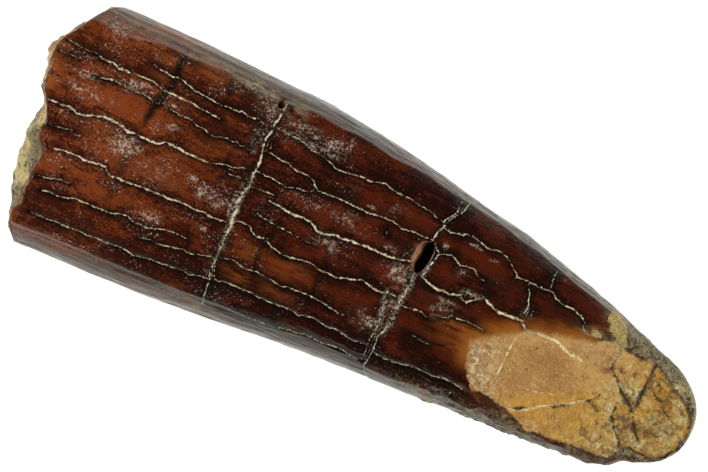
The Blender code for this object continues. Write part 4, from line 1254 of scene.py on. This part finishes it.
# %% The dentine of the wear facet
SCRATCH_TURN = math.radians(-24.0)
facet_clouds = pattern((1.6, 1.1, 1.1), 4.0, 51.0, 0.6)
facet_mottle = pattern(0.28, 4.0, 52.0, 0.65)
facet_fine = pattern(0.10, 2.0, 59.0, 0.7)
turned_spot = node("VectorRotate", spot, None, (0, 0, 1), SCRATCH_TURN, rotation_type="AXIS_ANGLE").outputs[0]
scratch_share = grow(clouded(vectors("MULTIPLY", turned_spot, (0.5, 9.0, 1.0)), 1.0, 2.0)["Fac"], 0.56, 0.72)
orange_side = grow(plus(times(across, -1.0), times(along, 0.62)), 15.7, 16.4)
dentine = coats(
    paint(colour(168, 120, 56), colour(186, 136, 44), orange_side),
    ((186, 142, 74), along, 23.6, 25.0, rest_of(orange_side)),
    ((142, 98, 40), facet_clouds, 0.52, 0.66, 0.5),
    ((194, 154, 84), facet_clouds, 0.48, 0.34, 0.5),
    ((124, 80, 28), facet_mottle, 0.46, 0.30, 0.6),
    ((204, 170, 112), facet_mottle, 0.55, 0.72, 0.6),
    ((108, 72, 34), facet_fine, 0.42, 0.30, 0.55),
    ((208, 182, 130), facet_fine, 0.58, 0.70, 0.5))
print("nodes so far:", len(nodes))

# %% The chipped tip, the scratches and the crust
tip_ground = coats(
    colour(168, 120, 26),
    ((114, 77, 20), pattern(0.8, 4.0, 54.0, 0.62), 0.46, 0.60, 1.0),
    ((176, 168, 108), pattern(0.65, 3.0, 55.0), 0.55, 0.60, 0.85),
    ((62, 40, 16), facet_mottle, 0.44, 0.34, 0.8),
    ((194, 164, 80), facet_fine, 0.56, 0.68, 0.6))
at_tip = grow(plus(along, times(pattern(1.2, 3.0, 53.0), 1.6)), 26.6, 27.9)
chipped = grow(plus(along, times(pattern(0.9, 3.0, 63.0), 2.0)), 25.6, 27.0)
chips = pattern(0.42, 3.0, 64.0, 0.6)
dentine = coats(
    paint(dentine, tip_ground, times(at_tip, 0.95)),
    ((80, 48, 14), chips, 0.45, 0.36, times(chipped, 0.8)),
    ((198, 172, 94), chips, 0.56, 0.64, times(chipped, 0.55)))
dentine = paint(dentine, colour(150, 122, 80), times(scratch_share, 0.10))
dentine = paint(dentine, colour(84, 52, 24), times(grains(0.5, 0.07, 0.20, 9.0), 0.8))

crust_share = times(crusty, grow(pattern(0.22, 3.0, 56.0), 0.36, 0.56))
far_crust = grow(along, 24.5, 25.8)
crust_dark = paint(colour(150, 118, 76), colour(134, 112, 60), far_crust)
crust_light = paint(colour(214, 192, 146), colour(202, 190, 134), far_crust)
dentine = paint(dentine, paint(crust_dark, crust_light, grow(fill, 0.40, 0.60)), crust_share)
print("nodes so far:", len(nodes))

# %% Pale and dark lines on the facet, and its edge
facet_lines = times(grow(plus(long_far, around(fill, 0.14)), 0.110, 0.055), grow(long_pale, 0.1, 0.5),
                    grow(coarse_grit, 0.38, 0.48))
facet_cross = times(grow(plus(cross_far, around(fill, 0.10)), times(cross_wide, 1.6), times(cross_wide, 0.8)),
                    grow(cross_pale, 0.1, 0.8), grow(coarse_grit, 0.38, 0.50))
dark_line = times(grow(dark_off, times(dark_wide, 1.3), times(dark_wide, 0.5)), grow(dark_strong, 0.1, 0.6),
                  grow(plus(pattern(0.35, 3.0, 57.0), around(coarse_grit, 0.8)), 0.36, 0.52))
dark_smear = times(grow(dark_far, times(dark_wide, 3.2), times(dark_wide, 0.8)),
                   grow(dark_strong, 0.2, 0.7), grow(facet_mottle, 0.52, 0.42))
dirt = most(dark_line, dark_smear)
facet_rim = times(grow(plus(facet_in, around(facet_mottle, 0.5)), 0.16, -0.02), grow(along, 24.0, 25.0))
dentine = paint(dentine, colour(224, 210, 160), most(facet_lines, facet_cross))
dentine = paint(dentine, colour(34, 27, 16), times(dirt, 0.92))
dentine = paint(dentine, colour(60, 38, 16), times(facet_rim, 0.85))

ragged = plus(facet_in, around(pattern(0.30, 4.0, 58.0, 0.65), 0.28))
thin_side = times(grow(along, 25.0, 24.2), grow(plus(across, times(along, -0.35)), -9.4, -8.4))
facet_share = grow(plus(ragged, times(thin_side, 0.10)), -0.03, plus(0.04, times(thin_side, 0.25)))
thin_enamel = times(thin_side, grow(plus(facet_in, times(pattern((0.7, 0.3, 0.4), 4.0, 60.0), 0.5)), -0.45, 0.25),
                    rest_of(times(0.8, most(long_share, long_edge_stain_and_shadow))))
worn_colour = paint(paint(cracked, colour(146, 84, 28), times(thin_enamel, 0.85)), dentine, facet_share)
print("nodes so far:", len(nodes))

# %% [markdown]
# Round the tip and below the facet the skin is rough, with crust in its hollows. Mud still sticks above
# the upper shoulder, and a few tan flakes of it lie beside the tip.

# %% Rough skin round the tip, and mud on the band above the shoulder
off_facet = rest_of(facet_share)
tip_skin = times(grow(plus(along, times(pattern(0.8, 3.0, 62.0), 2.0)), 25.6, 27.4), off_facet, upper)
low_strip = times(grow(along, 20.5, 22.5), off_facet, grow(across, -2.0, -2.6), upper)
low_edge = times(grow(along, 17.0, 19.5), grow(across, -2.9, -3.2), grow(along, 26.0, 25.0))
low_crust = times(most(low_strip, low_edge), grow(plus(across, times(pattern(0.4, 3.0, 66.0), 1.6)), -1.9, -2.3),
                  upper)
deposit_share = times(deposited, grow(pattern((0.5, 0.25, 0.25), 4.0, 61.0, 0.7), 0.40, 0.58))
flake = times(grow(plus(deposited, around(facet_mottle, 0.9)), 0.42, 0.50), grow(along, 24.1, 24.4),
              grow(across, 0.9, 1.1))

rough_skin = coats(
    colour(122, 108, 74),
    ((36, 26, 14), plus(facet_mottle, times(facet_fine, 0.6)), 0.86, 0.70, 1.0),
    ((160, 147, 104), coarse_grit, 0.52, 0.60, 0.75))
strip_colour = paint(colour(88, 46, 20), colour(38, 16, 6), grow(mottle, 0.4, 0.6))
mud_colour = paint(colour(120, 104, 78), colour(168, 152, 112), grow(fill, 0.4, 0.6))
flake_colour = paint(colour(146, 122, 64), colour(186, 166, 112), grow(facet_fine, 0.44, 0.60))
muddy = paint(worn_colour, rough_skin, times(tip_skin, 0.85))
muddy = paint(muddy, strip_colour, times(low_strip, 0.85))
muddy = coats(muddy, ((138, 116, 80), coarse_grit, 0.55, 0.61, times(low_crust, 0.55)))
muddy = paint(muddy, mud_colour, times(deposit_share, 0.8))
muddy = paint(muddy, flake_colour, times(flake, 0.92))
print("nodes so far:", len(nodes))

# %% [markdown]
# The broken base shows the thickness of the enamel as a thin dark brown rim. Inside it the dentine lies in
# faint rings, yellow-tan with rusty patches, and the hollow in the middle is filled with paler rock that
# holds dark grains. A few fine splits run outwards. It is all matt and rough.

# %% The broken base
RIM_WIDTH = 0.32
break_clouds = pattern((1.6, 1.2, 1.2), 4.0, 71.0, 0.62)
ring_place = plus(base_in, around(pattern(1.4, 3.0, 78.0), 1.0))
rings = plus(0.5, times(maths("SINE", times(ring_place, 15.0)), 0.5))
splits = maths("ABSOLUTE", around(pattern((1.8, 1.0, 1.0), 3.0, 80.0), 1.0))
split_share = times(grow(splits, 0.014, 0.004), grow(break_clouds, 0.40, 0.50))
rock = coats(
    colour(176, 164, 126),
    ((112, 104, 80), pattern(0.8, 4.0, 79.0, 0.65), 0.44, 0.60, 1.0))
rock = paint(rock, colour(58, 52, 40), times(grains(0.45, 0.10, 0.22, 12.0), 0.8))
broken = coats(
    colour(156, 138, 88),
    ((96, 87, 58), break_clouds, 0.43, 0.58, 1.0),
    ((132, 88, 40), pattern(1.1, 4.0, 72.0), 0.52, 0.64, 0.7),
    ((88, 64, 36), rings, 0.72, 0.95, times(grow(break_clouds, 0.38, 0.56), 0.45)))
broken = coats(
    paint(broken, rock, grow(ring_place, 1.9, 2.2)),
    ((66, 48, 28), ring_place, 2.2, 1.98, times(grow(ring_place, 1.80, 1.96), 0.8)))
broken = coats(
    paint(broken, colour(40, 30, 20), times(split_share, 0.8)),
    ((48, 38, 26), grit, 0.40, 0.32, 0.6),
    ((204, 190, 150), coarse_grit, 0.60, 0.68, 0.5))
rim = paint(colour(66, 34, 14), colour(128, 84, 40), grow(pattern(0.4, 3.0, 73.0), 0.48, 0.62))
inside_rim = grow(plus(base_in, around(pattern(0.5, 3.0, 77.0), 0.3)), RIM_WIDTH * 0.6, RIM_WIDTH)
broken = coats(
    paint(rim, broken, inside_rim),
    ((52, 36, 22), pattern(0.2, 3.0, 74.0), 0.44, 0.34, 0.5))
base_share = grow(plus(base_in, around(pattern(0.3, 3.0, 75.0), 0.25)), -0.06, 0.02)
print("nodes so far:", len(nodes))

# %% The walls of the pit, with painted light on one side and painted shade deeper down
wall_place = plus(dark_hole, around(coarse_grit, 0.3))
# Painted light and shade in the hollow: a pale tan is painted on one side as its lit wall, and deeper down the
# brown is painted darker as shade.
painted_wall_light = times(grow(wall_place, 0.13, 0.22), grow(across, PIT_CENTRE_Y + 0.5, PIT_CENTRE_Y + 0.1))
pit_wall_light_and_shade = coats(
    paint(colour(84, 42, 20), colour(160, 116, 74), painted_wall_light),
    ((78, 44, 22), wall_place, 0.36, 0.62, 1.0))
whole = paint(paint(muddy, broken, base_share), pit_wall_light_and_shade, times(grow(dark_hole, 0.02, 0.16), 0.95))
feed(shader.inputs["Base Color"], whole)
print("nodes so far:", len(nodes))

# %% [markdown]
# Last come the gloss and the finest relief. Enamel keeps a satin shine, and what lies on it or under it
# is matt. The relief too small for the mesh is a bump of a few hundredths of a millimetre.

# %% Gloss
SATIN, CLOUDED_SATIN, ROUGH_END, MATT = 0.11, 0.14, 0.10, 0.36
matt_strip = times(low_strip, plus(0.25, times(low_crust, grow(coarse_grit, 0.48, 0.58), 0.75)))
matt = most(tip_skin, matt_strip, flake, grow(dark_hole, 0.0, 0.04), times(long_share, 0.9),
            times(cross_share, 0.9), dust_share, deposit_share, facet_share, base_share)
rough_end = times(grow(along, 9.5, 7.0), most(grow(across, 3.6, 4.3), grow(across, -3.6, -4.3)))
feed(shader.inputs["Roughness"], plus(SATIN, times(grow(mottle, 0.35, 0.75), CLOUDED_SATIN),
                                      times(rough_end, ROUGH_END), times(matt, MATT)))
shader.inputs["Specular IOR Level"].default_value = 0.36
shader.inputs["IOR"].default_value = 1.5
print("nodes so far:", len(nodes))

# %% Fine relief, in millimetres
enamel_relief = plus(times(pattern((0.9, 0.07, 0.09), 2.0, 81.0), 0.014), times(pattern(0.14, 3.0, 82.0), 0.010),
                     times(dust_and_glint_specks, 0.012), times(long_share, -0.012), times(cross_share, -0.02))
bare_relief = plus(times(facet_mottle, 0.06), times(facet_fine, 0.03), times(chipped, chips, 0.10),
                   times(scratch_share, -0.012), times(crust_share, 0.05), times(dirt, -0.05),
                   times(pattern(0.12, 3.0, 83.0), 0.03), times(split_share, base_share, -0.06),
                   times(rings, base_share, -0.02))
relief = node("Mix", most(facet_share, base_share), None, enamel_relief, bare_relief).outputs[0]
bump = node("Bump")
for name, value in (("Height", relief), ("Distance", MM), ("Strength", 1.0)):
    feed(bump.inputs[name], value)
feed(shader.inputs["Normal"], bump.outputs["Normal"])
skin.materials.append(enamel)
print("nodes in all:", len(nodes))
